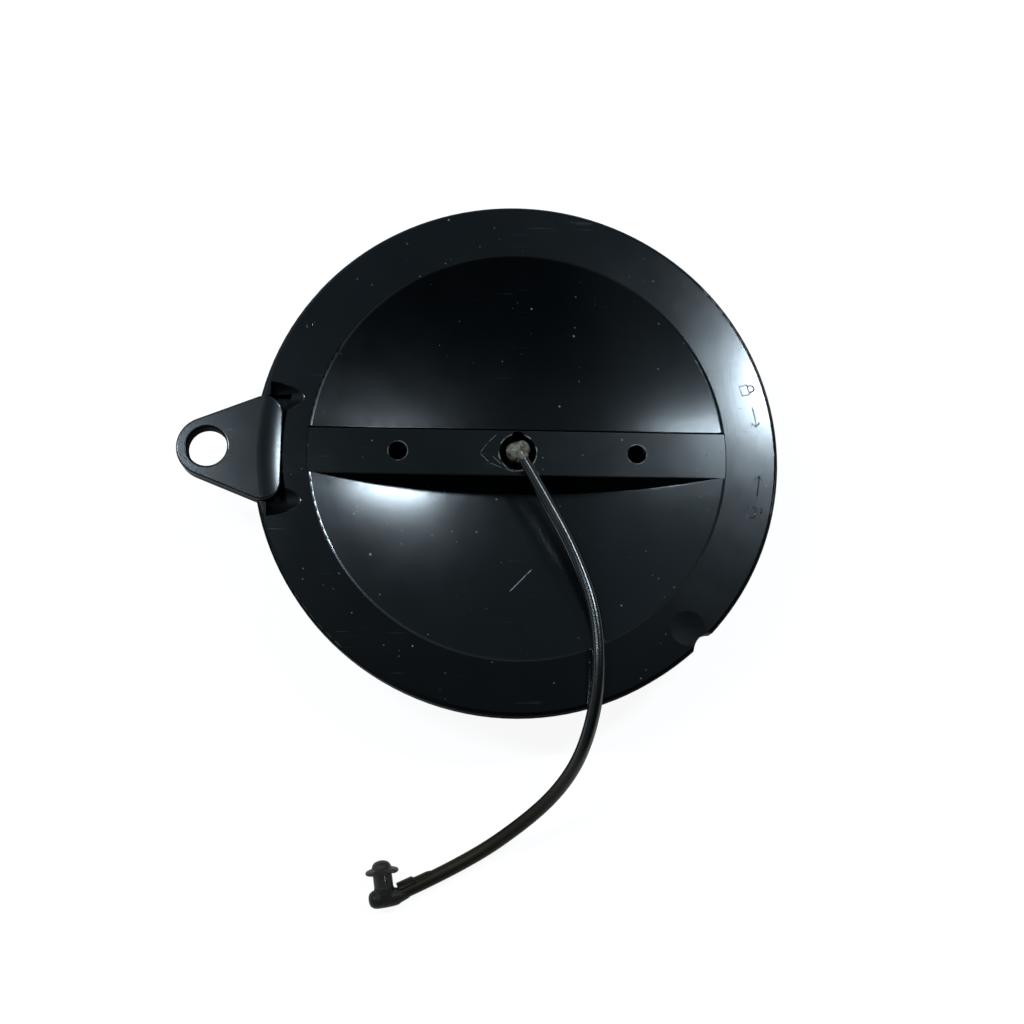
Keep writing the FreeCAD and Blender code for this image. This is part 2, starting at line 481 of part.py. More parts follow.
def make_outer_ring():
    """Flange, rim lip, bayonet skirt and the lug's pocket, moulded as one ring."""
    body = new_body("outer_ring")
    section = sketch_on(body, "ring_section", "XZ_Plane")
    outline(section, (
        ("opening_radius", "seat_height"),
        ("opening_radius", "flange_height"),
        ("rim_crest", "flange_height"),
        ("flange_radius", "rim_shoulder"),
        ("flange_radius", "lip_bottom"),
        ("lip_inner", "lip_bottom"),
        ("lip_inner", "flange_under"),
        ("root_radius", "flange_under"),
        ("root_radius", "root_under"),
        ("skirt_radius", "root_under"),
        ("skirt_radius", ZERO),
        ("skirt_inner", ZERO),
        ("skirt_inner", "seat_height"),
    ), {2: ("rim_round", -1)})
    turn(body, "ring_turned", section)

    box = sketch_on(body, "pocket_box", "XY_Plane", "root_under")
    outline(box, (
        ("-block_out_x", "block_half"),
        ("-block_out_x", "-block_half"),
        ("-block_in_x", "-block_half"),
        ("-block_in_x", "block_half"),
    ), {0: ("block_out", 1), 2: ("block_in", -1)})
    extrude(body, "pocket_box_pad", box, "root_height")

    pocket = sketch_on(body, "lug_pocket", "XY_Plane", "cut_plane")
    outline(pocket, (
        ("-pocket_in_x", "pocket_half"),
        ("-pocket_in_x", "-pocket_half"),
        ("-pocket_out_x", "-pocket_half"),
        ("-gate_x", "-gate_half"),
        ("-gate_end", "-gate_half"),
        ("-gate_end", "gate_half"),
        ("-gate_x", "gate_half"),
        ("-pocket_out_x", "pocket_half"),
    ), {0: ("pocket_inner", 1), 2: ("lip_inner", -1), 6: ("lip_inner", -1)})
    extrude(body, "lug_pocket_cut", pocket, "pocket_cut", cut=True)
    half = size("pocket_half")
    corners = [(-size(x), y) for x in ("pocket_in_x", "pocket_out_x") for y in (half, -half)]
    round_edges(body, "pocket_corners", "pocket_corner",
                lambda edge: any(stands_at(edge, x, y) for x, y in corners))

    pegs = sketch_on(body, "peg_holes", "XY_Plane", "pocket_floor")
    circle(pegs, "-peg_x", "peg_y", "peg_hole_radius")
    circle(pegs, "-peg_x", "-peg_y", "peg_hole_radius")
    extrude(body, "peg_holes_cut", pegs, "peg_hole_cut", cut=True)

    notch = sketch_on(body, "rim_notch", "XY_Plane", "cut_plane")
    circle(notch, "notch_x", "notch_y", "notch_radius")
    extrude(body, "rim_notch_cut", notch, "notch_cut", cut=True)

    scoop = {"Radius": "scoop_radius", "Height": "scoop_length"}
    take_out(body, "upper_scoop", "Cylinder", ("-scoop_x", "scoop_y", "scoop_z"), scoop, "scoop_turn")
    take_out(body, "lower_scoop", "Cylinder", ("-scoop_x", "-scoop_y", "scoop_z"), scoop, "scoop_turn")
    take_out(body, "dimple", "Sphere", ("dimple_x", "dimple_y", "dimple_z"), {"Radius": "dimple_radius"})

    slot = sketch_on(body, "bayonet_slot", "XZ_Plane")
    outline(slot, (
        ("slot_half", "-overrun"),
        ("slot_half", "slot_height"),
        ("-slot_reach", "slot_height"),
        ("-slot_reach", "slot_sill"),
        ("-slot_half", "slot_sill"),
        ("-slot_half", "-overrun"),
    ))
    cut = extrude(body, "bayonet_slot_cut", slot, "slot_cut", cut=True)
    before = volume_of(body)
    pattern = body.newObject("PartDesign::PolarPattern", "bayonet_slots")
    pattern.Originals = [cut]
    pattern.Axis = (origin_feature(body, "Z_Axis"), [""])
    pattern.Angle = 360
    pattern.setExpression("Occurrences", bound("slot_count"))
    finish_feature(body, pattern, before, cut=True)
    return body


def hollow_section(sketch, half, height):
    """Section of the hollow in the grip bar, up to a height where it has that half width."""
    outline(sketch, (
        ("-foot_gap_half", "channel_foot"),
        ("foot_gap_half", "channel_foot"),
        (half, height),
        (f"-{half}", height),
    ))


def make_grip_bowl():
    """Finger bowl with the hollow grip bar across it, welded in behind the flange's opening."""
    body = new_body("grip_bowl")
    section = sketch_on(body, "bowl_section", "XZ_Plane")
    outline(section, (
        (ZERO, "bowl_base"),
        ("bowl_foot", "bowl_rim_under"),
        ("bowl_rim_radius", "bowl_rim_under"),
        ("bowl_rim_radius", "seat_height"),
        ("bowl_radius", "seat_height"),
        ("bowl_radius", "flange_height"),
        ("brink_radius", "brink_height"),
        (ZERO, "bowl_floor"),
    ), {0: ("sphere_out", 1), 5: ("bowl_edge", 1), 6: ("sphere_in", -1)})
    turn(body, "bowl_turned", section)

    bar = sketch_on(body, "bar_section", "YZ_Plane")
    outline(bar, (
        ("-bar_foot_half", "bowl_base"),
        ("bar_foot_half", "bowl_base"),
        ("bar_half", "bar_shoulder"),
        ("bar_flat", "bar_top"),
        ("-bar_flat", "bar_top"),
        ("-bar_half", "bar_shoulder"),
    ), {2: ("bar_round", 1), 4: ("bar_round", 1)})
    extrude(body, "bar_pad", bar, "bar_length", both=True)
    run = sketch_on(body, "bar_run", "XY_Plane", "bar_top")
    rectangle(run, "-opening_radius", "-bar_half", "opening_radius", "bar_half")
    extrude(body, "bar_run_cut", run, "bar_run_cut", cut=True, reverse=True)

    under = sketch_on(body, "under_bowl", "XZ_Plane")
    outline(under, (
        (ZERO, "bowl_base"),
        ("bowl_foot", "bowl_rim_under"),
        ("trim_radius", "bowl_rim_under"),
        ("trim_radius", "-overrun"),
        (ZERO, "-overrun"),
    ), {0: ("sphere_out", 1)})
    turn(body, "under_bowl_cut", under, cut=True)

    hollow = sketch_on(body, "bar_hollow", "YZ_Plane")
    hollow_section(hollow, "boss_gap_half", "boss_under")
    extrude(body, "bar_hollow_cut", hollow, "channel_length", cut=True, both=True)
    for side, start in (("right", "boss_half"), ("left", "-boss_half")):
        hollow = sketch_on(body, f"{side}_hollow", "YZ_Plane", start)
        hollow_section(hollow, "plate_half", "plate_under")
        extrude(body, f"{side}_hollow_cut", hollow, "side_run", cut=True, reverse=side == "right")

    holes = sketch_on(body, "bar_holes", "XY_Plane", "bar_top")
    circle(holes, "bar_hole_reach", ZERO, "bar_hole_radius")
    circle(holes, "-bar_hole_reach", ZERO, "bar_hole_radius")
    extrude(body, "bar_holes_cut", holes, "bar_hole_cut", cut=True)
    socket = sketch_on(body, "socket", "XY_Plane", "bar_top")
    circle(socket, ZERO, ZERO, "socket_radius")
    extrude(body, "socket_cut", socket, "socket_depth", cut=True)
    pivot = sketch_on(body, "pivot", "XY_Plane", "bar_top")
    circle(pivot, ZERO, ZERO, "pivot_radius")
    extrude(body, "pivot_cut", pivot, "pivot_cut", cut=True)
    key = sketch_on(body, "socket_notch", "XY_Plane", "bar_top")
    circle(key, ZERO, "key_shoulder", "key_half")
    extrude(body, "socket_notch_cut", key, "key_depth", cut=True)
    return body


def make_locking_lug():
    """Padlock lug, seated in the flange's pocket on two pegs."""
    body = new_body("locking_lug")
    plan = sketch_on(body, "lug_plan", "XY_Plane", "pocket_floor")
    outline(plan, (
        ("-lug_tip_x", "lug_tip_y"),
        ("-lug_tip_x", "-lug_tip_y"),
        ("-lug_side_x", "-lug_side_y"),
        ("-lug_root", "-lug_corner_y"),
        ("-lug_root", "lug_corner_y"),
        ("-lug_side_x", "lug_side_y"),
    ), {0: ("lug_tip_radius", 1), 2: ("lug_corner", 1), 4: ("lug_corner", 1)})
    extrude(body, "lug_plate", plan, "lug_thickness")

    nose = sketch_on(body, "lug_nose", "XZ_Plane")
    outline(nose, (
        ("-lug_crest", "lug_top"),
        ("-lug_bend", "lug_bend_top"),
        ("-lug_root", "lug_shoulder"),
        ("-lug_past_end", "lug_shoulder"),
        ("-lug_past_end", "lug_past_top"),
        ("-lug_crest", "lug_past_top"),
    ), {0: ("nose_radius", -1), 1: ("bullnose", -1)})
    turn(body, "lug_nose_cut", nose, cut=True)
    plate = body.Tip.Shape
    round_edges(body, "lug_edges", "lug_edge", lambda edge: tops_a_wall(plate, edge))

    hole = sketch_on(body, "padlock_hole", "XY_Plane", "lug_past_top")
    circle(hole, "-lug_reach", ZERO, "lug_hole_radius")
    extrude(body, "padlock_hole_cut", hole, "lug_hole_cut", cut=True)
    rim = size("lug_hole_radius")
    reach = size("lug_reach")
    round_edges(body, "padlock_hole_edges", "lug_edge", lambda edge: (
        hasattr(edge.Curve, "Radius") and abs(edge.Curve.Radius - rim) < 0.01
        and math.hypot(edge.Curve.Center.x + reach, edge.Curve.Center.y) < 0.01))

    pegs = sketch_on(body, "pegs", "XY_Plane", "pocket_floor")
    circle(pegs, "-peg_x", "peg_y", "peg_radius")
    circle(pegs, "-peg_x", "-peg_y", "peg_radius")
    extrude(body, "pegs_pad", pegs, "pocket_floor_wall", reverse=True)
    return body


def make_swivel_elbow(cord_direction):
    """Ball end of the tether, on a collar that turns in the bar's socket."""
    body = new_body("swivel_elbow")
    section = sketch_on(body, "ball_section", "XZ_Plane")
    outline(section, (
        ("pin_hole_radius", "-collar_foot"),
        ("collar_radius", "-collar_foot"),
        ("collar_radius", "-collar_meet"),
        (ZERO, "ball_radius"),
        (ZERO, "-collar_hole_top"),
        ("pin_hole_radius", "-collar_hole_top"),
    ), {2: ("ball_radius", 1)})
    turn(body, "ball_turned", section)
    flat = sketch_on(body, "cord_flat", "XY_Plane")
    rectangle(flat, "cord_face", "-ball_past", "ball_past", "ball_past")
    extrude(body, "cord_flat_cut", flat, "ball_span", cut=True, both=True)
    angle = math.degrees(math.atan2(cord_direction.y, cord_direction.x))
    body.Placement = FreeCAD.Placement(
        FreeCAD.Vector(0, 0, size("ball_height")), FreeCAD.Rotation(FreeCAD.Vector(0, 0, 1), angle))
    return body


def make_stud(label, placement):
    """Snap stud along its own +Z: a pin for its elbow, a slit shank and a domed head with two wings."""
    body = new_body(label)
    section = sketch_on(body, "stud_section", "XZ_Plane")
    outline(section, (
        (ZERO, "-pin_length"),
        ("pin_radius", "-pin_length"),
        ("pin_radius", ZERO),
        ("shank_radius", ZERO),
        ("shank_radius", "shank_length"),
        ("brim_radius", "brim_low"),
        ("brim_radius", "brim_edge"),
        ("dome_radius", "dome_base"),
        (ZERO, "head_top"),
    ), {7: ("dome_arc", 1)})
    turn(body, "stud_turned", section)
    flats = sketch_on(body, "brim_flats", "YZ_Plane")
    rectangle(flats, "flat_reach", ZERO, "flat_past", "head_top")
    rectangle(flats, "-flat_past", ZERO, "-flat_reach", "head_top")
    extrude(body, "brim_flats_cut", flats, "split_span", cut=True, both=True)
    slit = sketch_on(body, "stud_slit", "XZ_Plane")
    rectangle(slit, "-split_half", "split_root", "split_half", "shank_length")
    extrude(body, "stud_slit_cut", slit, "split_span", cut=True, both=True)
    body.Placement = placement
    return body


def make_tube_end_elbow(placement):
    """Far end of the tether: a barrel along its own X, with a neck for the stud along its own Z."""
    body = new_body("tube_end_elbow")
    section = sketch_on(body, "barrel_section", "XZ_Plane")
    outline(section, (
        ("-barrel_heel", ZERO),
        ("barrel_long", ZERO),
        ("barrel_long", "barrel_radius"),
        ("-barrel_crest", "barrel_radius"),
        ("-barrel_heel", "barrel_shoulder"),
    ), {3: ("barrel_round", 1)})
    turn(body, "barrel_turned", section, axis="H_Axis")
    toe = sketch_on(body, "cord_end", "XZ_Plane")
    outline(toe, (
        ("toe_low_x", "toe_low_z"),
        ("toe_far_low_x", "toe_far_low_z"),
        ("toe_far_high_x", "toe_far_high_z"),
        ("toe_high_x", "toe_high_z"),
    ))
    extrude(body, "cord_end_cut", toe, "barrel_span", cut=True, both=True)
    neck = sketch_on(body, "neck", "XY_Plane")
    circle(neck, ZERO, ZERO, "neck_radius")
    extrude(body, "neck_pad", neck, "neck_height")
    hole = sketch_on(body, "pin_hole", "XY_Plane", "neck_height")
    circle(hole, ZERO, ZERO, "pin_hole_radius")
    extrude(body, "pin_hole_cut", hole, "pin_hole_depth", cut=True)
    body.Placement = placement
    return body


def make_tube_end_sleeve(placement):
    """Stepped clip that hugs the cord beside the far elbow, open on the side away from the stud."""
    body = new_body("tube_end_sleeve")
    section = sketch_on(body, "sleeve_section", "XZ_Plane")
    outline(section, (
        ("sleeve_gap", "sleeve_bore"),
        ("sleeve_end", "sleeve_bore"),
        ("sleeve_end", "sleeve_low"),
        ("sleeve_step", "sleeve_low"),
        ("sleeve_step", "sleeve_high"),
        ("sleeve_gap", "sleeve_high"),
    ))
    feature = body.newObject("PartDesign::Revolution", "sleeve_turned")
    feature.Profile = section
    feature.ReferenceAxis = (section, ["H_Axis"])
    feature.Midplane = True
    feature.setExpression("Angle", bound("sleeve_wrap"))
    finish_feature(body, feature, 0.0, cut=False)
    body.Placement = placement
    return body


def cord_route():
    """The points of the cord's route, from the ball's flat to the far elbow."""
    height = size("ball_height")
    angle = math.radians(CORD_EXIT_ANGLE)
    out = FreeCAD.Vector(math.cos(angle), math.sin(angle), 0)
    centre = FreeCAD.Vector(0, 0, height)
    route = [centre + out * size("cord_face"), centre + out * (size("cord_face") + CORD_FIRST_RUN)]
    route += [FreeCAD.Vector(x, y, size("bar_top") + rise) for x, y, rise in CORD_OVER_CAP]
    return route + [FreeCAD.Vector(*point) for point in CORD_TO_TABLE]


def make_tether_cord(route):
    """The cord, a plain tube on straight runs joined by tangent arcs."""
    edges = []
    radii = []
    start = route[0]
    for before, corner, after in zip(route[:-2], route[1:-1], route[2:]):
        back = (before - corner).normalize()
        ahead = (after - corner).normalize()
        half_turn = (math.pi - back.getAngle(ahead)) / 2
        cut = ARC_SHARE * min((before - corner).Length, (after - corner).Length)
        radius = cut / math.tan(half_turn)
        middle = corner + (back + ahead).normalize() * (radius / math.cos(half_turn) - radius)
        edges.append(Part.LineSegment(start, corner + back * cut).toShape())
        edges.append(Part.Arc(corner + back * cut, middle, corner + ahead * cut).toShape())
        start = corner + ahead * cut
        radii.append(round(radius, 1))
    edges.append(Part.LineSegment(start, route[-1]).toShape())
    path = Part.Wire(edges)
    length = sum(edge.Length for edge in edges)
    ring = Part.Wire(Part.Circle(route[0], route[1] - route[0], size("cord_radius")).toShape())
    solid = path.makePipeShell([ring], True, False)
    expected = math.pi * size("cord_radius") ** 2 * length
    if abs(solid.Volume / expected - 1) > 0.01:
        raise RuntimeError(f"cord volume {solid.Volume:.1f}, expected {expected:.1f}")
    share = solid.Volume / expected
    print(f"cord: length {length:.1f}, arc radii {radii}, volume share {share:.4f}")
    cord = doc.addObject("Part::Feature", "tether_cord")
    cord.Label = "tether_cord"
    cord.Shape = solid
    return cord


def far_end_frames(route):
    """Placements of the far elbow, its stud and its sleeve, from the cord's last run."""
    end = route[-1]
    along = (route[-2] - end).normalize()
    level = FreeCAD.Vector(0, 0, 1).cross(along).normalize()
    if level.y < 0:
        level = -level
    up = along.cross(level) if along.cross(level).z > 0 else level.cross(along)
    lift = math.radians(size("stud_lift"))
    side = level * math.cos(lift) + up * math.sin(lift)
    kink = math.radians(size("barrel_kink"))
    barrel = along * math.cos(kink) - side * math.sin(kink)
    stud = along * math.sin(kink) + side * math.cos(kink)
    elbow_turn = FreeCAD.Rotation(barrel, stud.cross(barrel), stud, "ZXY")
    elbow = FreeCAD.Placement(end - barrel * size("barrel_toe"), elbow_turn)
    stud_seat = FreeCAD.Placement(elbow.Base + stud * size("neck_height"), elbow_turn)
    sleeve = FreeCAD.Placement(end, FreeCAD.Rotation(along, side.cross(along), side, "ZXY"))
    return elbow, stud_seat, sleeve


def check(parts):
    """Stops before anything is written where an object failed or a sub-part isn't a sound solid."""
    doc.recompute()
    failed = [item.Label for item in doc.Objects if "Invalid" in item.State or "Error" in item.State]
    if failed:
        raise RuntimeError(f"failed objects: {failed}")
    for part in parts:
        if part.Shape.isNull() or not part.Shape.isValid() or not part.Shape.Solids:
            raise RuntimeError(f"{part.Label} isn't a sound solid")


def main():
    fill_sheet()
    route = cord_route()
    elbow, stud_seat, sleeve = far_end_frames(route)
    collar_foot = FreeCAD.Vector(0, 0, size("ball_height") - size("collar_foot"))
    hanging = FreeCAD.Placement(collar_foot, FreeCAD.Rotation(FreeCAD.Vector(1, 0, 0), 180))
    parts = [
        make_outer_ring(),
        make_grip_bowl(),
        make_locking_lug(),
        make_swivel_elbow(route[1] - route[0]),
        make_stud("swivel_stud", hanging),
        make_tether_cord(route),
        make_tube_end_elbow(elbow),
        make_stud("tube_end_stud", stud_seat),
        make_tube_end_sleeve(sleeve),
    ]
    check(parts)
    os.makedirs("parts", exist_ok=True)
    for part in parts:
        box = part.Shape.BoundBox
        print(f"{part.Label}: solids {len(part.Shape.Solids)}, volume {part.Shape.Volume:.1f}, "
              f"z {box.ZMin:.2f} to {box.ZMax:.2f}")
        part.Shape.exportStep(f"parts/{part.Label}.step")


main()
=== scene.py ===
"""Scene of a hose carrier tube's end cap, lying face up with its tether beside it."""
import math

import bmesh
import bpy
from bpy.props import FloatProperty, FloatVectorProperty, PointerProperty
from bpy.types import Operator, Panel, PropertyGroup
from mathutils import Matrix, Vector


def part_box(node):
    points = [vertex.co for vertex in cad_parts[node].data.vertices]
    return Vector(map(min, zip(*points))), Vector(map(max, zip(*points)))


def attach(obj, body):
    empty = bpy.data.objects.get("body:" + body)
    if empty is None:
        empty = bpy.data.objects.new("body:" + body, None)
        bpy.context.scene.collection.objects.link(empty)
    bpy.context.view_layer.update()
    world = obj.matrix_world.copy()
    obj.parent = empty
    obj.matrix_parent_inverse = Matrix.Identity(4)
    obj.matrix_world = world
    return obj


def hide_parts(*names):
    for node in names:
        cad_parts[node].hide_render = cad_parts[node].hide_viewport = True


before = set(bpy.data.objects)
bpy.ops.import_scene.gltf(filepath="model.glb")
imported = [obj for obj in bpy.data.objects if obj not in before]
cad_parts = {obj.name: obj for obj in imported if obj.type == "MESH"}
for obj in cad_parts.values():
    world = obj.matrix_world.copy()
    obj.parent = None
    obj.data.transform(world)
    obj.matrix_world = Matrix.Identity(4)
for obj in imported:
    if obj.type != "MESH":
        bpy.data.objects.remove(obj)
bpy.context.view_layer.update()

bl_info = {
    "name": "Hose Carrier End Cap",
    "version": (1, 0, 0),
    "blender": (4, 5, 0),
    "location": "View3D > Sidebar > End Cap",
    "description": "Finishes, tether and raised marks of a hose carrier tube's end cap, with its stage",
    "category": "Object",
}

MM = 0.001
UP = Vector((0, 0, 1))

# Heights of the cap's faces
FLANGE_TOP = 0.034
BAR_TOP = 0.0335
LUG_TOP = 0.035

# The rim's rounded edge and the bar's far edge, where shade is painted dark
RIM_EDGE_RADIUS = 0.0842
RIM_EDGE_HEIGHT = 0.0016
BAR_HALF = 0.00775
FAR_EDGE_WIDTH = 0.0007
FAR_EDGE_HEIGHT = 0.0030

# The scoops beside the lug, the lug's padlock hole, and how deep a recess gets painted shade and how soon
RECESS_DEPTH = 0.0065
RECESS_FADE = 0.00008
SCOOP_X = -0.0765
SCOOP_Y = 0.017
SCOOP_REACH = 0.0095
SCOOP_FADE = 0.0002
SCOOP_SHADE_SHARE = 0.85
PADLOCK_X = -0.0995
PADLOCK_RADIUS = 0.00635

# The cord's route from the ball end to the far elbow
CORD_ROUTE = (
    (0.0017137, -0.0029682, 0.0358),
    (0.0092137, -0.0159586, 0.0358),
    (0.0183, -0.0335, 0.0364),
    (0.0248, -0.0530, 0.0377),
    (0.0254, -0.0740, 0.0382),
    (0.0219, -0.0920, 0.0340),
    (0.0162, -0.1043, 0.0244),
    (0.0056, -0.1156, 0.0134),
    (-0.0150, -0.1301, 0.0019),
    (-0.0360, -0.1394, 0.0039),
)
CORD_THICKNESS_AT_POINTS = (0.86, 0.87, 0.90, 0.94, 0.98, 1.0, 1.02, 1.05, 1.08, 1.08)

# The bar's socket and plain holes
SOCKET_RADIUS = 0.006
BAR_HOLE_RADIUS = 0.0031
BAR_HOLE_REACH = 0.03875

# The scratch in the bowl, and the scuffs that the turning ball end left beside the socket
BOWL_SCRATCH = ((-0.0023, -0.0446), (0.0052, -0.0367))
BOWL_SCRATCH_WIDTH = 0.00022
SOCKET_SCUFF_WIDTH = 0.00015
SOCKET_SCUFFS = (
    ((-0.0123, -0.0004), (-0.0096, 0.0032)),
    ((-0.0096, 0.0032), (-0.0068, 0.0060)),
    ((-0.0123, -0.0004), (-0.0092, -0.0036)),
    ((-0.0092, -0.0036), (-0.0048, -0.0054)),
    ((-0.0048, -0.0054), (-0.0006, -0.0066)),
    ((-0.0084, -0.0012), (-0.0052, -0.0042)),
)

# The ball end, the heights between which painted shade darkens its foot, and the angle at which the cord
# leaves it
BALL_CENTRE = Vector((0, 0, 0.0358))
BALL_FOOT = (0.0341, 0.0357)
CORD_EXIT_ANGLE = math.radians(-60)

# Where along Y the cord turns worn
CORD_WORN_SPAN = (-0.120, -0.085)

# Axes and places of the far fitting
ELBOW_PLACE = Vector((-0.04090, -0.14090, 0.00441))
BARREL_AXIS = Vector((0.9802, 0.1545, -0.1241))
STUD_SEAT = Vector((-0.04123, -0.13711, 0.00491))
STUD_AXIS = Vector((-0.1386, 0.9820, 0.1281))

# The angle above which the stud's edges are sharp, and the cells that the rubber's skins are built from
STUD_SHARP_DEGREES = 55
SKIN_VOXEL = 0.00020

# The sleeve's inside and the cord's side that its walls stand on, in mm, and the arc that it covers
SLEEVE_INSIDE = 1.9
SLEEVE_FOOT = 2.2
SLEEVE_HALF_ARC = 60
SLEEVE_ARC_STEP = 12

# Places on the flange that carry raised marks, as angles
CLOSE_ARROW_ANGLE = math.radians(9.5)
CLOSED_LOCK_ANGLE = math.radians(16.5)
OPEN_ARROW_ANGLE = math.radians(-7.5)
OPEN_LOCK_ANGLE = math.radians(-14.0)
INDEX_ANGLE = math.radians(148.5)

# The camera's place, fitted to the photograph
CAMERA_AZIMUTH = math.radians(-13.865)
CAMERA_ELEVATION = math.radians(77.41)
CAMERA_ROLL = math.radians(14.36)
CAMERA_DISTANCE = 0.451909
CAMERA_SLIDE = (-0.001919, -0.019435)
CAMERA_FOCAL_PIXELS = 1398.246
PICTURE_PIXELS = 1024
SENSOR_WIDTH = 36.0

# Colour of the painted shade in recesses and on the rim's and bar's edges, and colours of wear, stains and
# dust
PAINTED_SHADE_COLOUR = (0.0006, 0.0008, 0.0010)
SCRATCH_COLOUR = (0.16, 0.17, 0.17)
SCUFF_COLOUR = (0.040, 0.042, 0.042)
SOCKET_EDGE_COLOUR = (0.13, 0.13, 0.13)
HOLE_EDGE_COLOUR = (0.09, 0.09, 0.09)
BALL_STAIN_COLOUR = (0.024, 0.022, 0.016)
BALL_FOOT_SHADE_COLOUR = (0.005, 0.005, 0.004)
ELBOW_STAIN_COLOUR = (0.022, 0.022, 0.019)
ELBOW_DUST_COLOUR = (0.14, 0.15, 0.15)
STUD_DUST_COLOUR = (0.10, 0.085, 0.07)
CORD_DUST_COLOUR = (0.12, 0.115, 0.11)

# How pale the finest dust is, against the larger specks, and how deep the moulded grain is
FINE_DUST_SHARE = 0.16
GRAIN_DEPTH = 0.00003

# The floor, the disc of it that the cap hides and the disc that it and its lug shade
FLOOR_RADIUS = 6.0
HIDDEN_FLOOR_RADIUS = 0.083
SHADED_FLOOR_RADIUS = 0.120

# The room's light: in front, behind and at the left of the object, and the white band at its foot
ROOM_FRONT = 0.011
ROOM_BEHIND = 0.20
ROOM_LEFT = 0.19
ROOM_FOOT = 0.95

# The lamps' places and sizes
RIGHT_LAMP_PLACE = Vector((0.382, 0.314, 0.93))
RIGHT_LAMP_SIZE = (0.183, 0.078)
LEFT_LAMP_PLACE = Vector((-0.610, 0.216, 0.93))
LEFT_LAMP_SIZE = (0.60, 0.045)


def colour_property(name, description, default):
    """A colour that a user may change."""
    return FloatVectorProperty(
        name=name, description=description, default=default, subtype="COLOR", size=3, min=0, max=1
    )


def length_property(name, description, default):
    """A length in metres that a user may change."""
    return FloatProperty(name=name, description=description, default=default, unit="LENGTH", precision=4)


def share_property(name, description, default):
    """A share from 0 to 1 that a user may change."""
    return FloatProperty(name=name, description=description, default=default, subtype="FACTOR", min=0, max=1)


def power_property(name, description, default):
    """A lamp's power that a user may change."""
    return FloatProperty(name=name, description=description, default=default, unit="POWER")


class CapSettings(PropertyGroup):
    """Finishes of the ring, the bowl and the lug"""
    ring_colour: colour_property("Ring colour", "Colour of the ring's plastic", (0.0008, 0.0012, 0.0016))
    bowl_colour: colour_property("Bowl colour", "Colour of the bowl and bar", (0.0005, 0.0009, 0.0012))
    lug_colour: colour_property("Lug colour", "Colour of the padlock lug's plastic", (0.0010, 0.0014, 0.0018))
    dust_colour: colour_property("Dust colour", "Colour of dust and scuffs", (0.22, 0.23, 0.23))
    ring_roughness: share_property("Ring roughness", "Roughness of the outer ring", 0.14)
    bowl_roughness: share_property("Bowl roughness", "Roughness of the bowl and bar", 0.165)
    lug_roughness: share_property("Lug roughness", "Roughness of the lug", 0.19)
    dust_amount: share_property("Dust amount", "Share of the dust cells that hold a speck", 0.16)


class MarkSettings(PropertyGroup):
    """Raised turn marks on the flange"""
    circle: length_property("Mark circle", "Radius of the turn marks' circle", 0.0788)
    index_circle: length_property("Index circle", "Radius of the index mark's circle", 0.0805)
    height: length_property("Mark height", "Height of a mark above the flange", 0.00016)
    line_width: length_property("Line width", "Width of a mark's raised lines", 0.00052)


class TetherSettings(PropertyGroup):
    """Sizes and colours of the tether"""
    cord_diameter: length_property("Cord diameter", "Thickness of the cord", 0.0043)
    stud_split: length_property("Stud split", "Width of the slit in the snap stud", 0.0005)
    cord_colour: colour_property("Cord colour", "Colour of the cord's rubber", (0.0030, 0.0030, 0.0028))
    cord_worn: colour_property("Cord worn colour", "Colour of the cord's far end", (0.0240, 0.0208, 0.0145))
    ball_colour: colour_property("Ball colour", "Colour of the ball end's worn rubber", (0.135, 0.120, 0.090))
    elbow_colour: colour_property("Elbow colour", "Colour of the elbow's rubber", (0.0115, 0.0098, 0.0076))
    stud_colour: colour_property("Stud colour", "Colour of the snap studs", (0.0200, 0.0152, 0.0112))


class StageSettings(PropertyGroup):
    """Floor and lamps"""
    floor_colour: colour_property("Floor colour", "Colour of the floor", (0.13, 0.13, 0.13))
    floor_glow: share_property("Floor glow", "How far the floor is lifted towards white", 0.92)
    lamp_colour: colour_property("Lamp colour", "Colour of both lamps' light", (0.72, 0.88, 1.0))
    room_colour: colour_property("Room colour", "Colour of the room's dim light", (0.60, 0.83, 1.0))
    right_power: power_property("Right lamp", "Power of the lamp at the right", 5.8)
    left_power: power_property("Left lamp", "Power of the lamp at the left", 8.45)


# Node helpers

def put(tree, kind, values=None, **settings):
    """Adds a node with its own settings and its sockets' values."""
    made = tree.nodes.new(kind)
    for name, value in settings.items():
        setattr(made, name, value)
    for socket, value in (values or {}).items():
        made.inputs[socket].default_value = value
    return made


def calculate(tree, operation, first, second=None, clamp=False):
    """A Math node on two sockets or numbers; returns its output."""
    made = put(tree, "ShaderNodeMath", operation=operation, use_clamp=clamp)
    for socket, value in zip(made.inputs, (first, second)):
        if isinstance(value, bpy.types.NodeSocket):
            tree.links.new(value, socket)
        elif value is not None:
            socket.default_value = value
    return made.outputs[0]


def spread(tree, value, low, high, new_low=0.0, new_high=1.0):
    """Maps a value's range onto a new one, with soft ends; returns the output."""
    made = put(
        tree,
        "ShaderNodeMapRange",
        {"From Min": low, "From Max": high, "To Min": new_low, "To Max": new_high},
        interpolation_type="SMOOTHSTEP",
    )
    tree.links.new(value, made.inputs["Value"])
    return made.outputs["Result"]


def mix_colours(tree, share, first, second):
    """Mixes two colours, given as sockets or values; returns the output."""
    made = put(tree, "ShaderNodeMix", data_type="RGBA")
    tree.links.new(share, made.inputs["Factor"])
    colours = [socket for socket in made.inputs if socket.type == "RGBA"]
    for socket, value in zip(colours, (first, second)):
        if isinstance(value, bpy.types.NodeSocket):
            tree.links.new(value, socket)
        else:
            socket.default_value = (*value, 1)
    return [socket for socket in made.outputs if socket.type == "RGBA"][0]


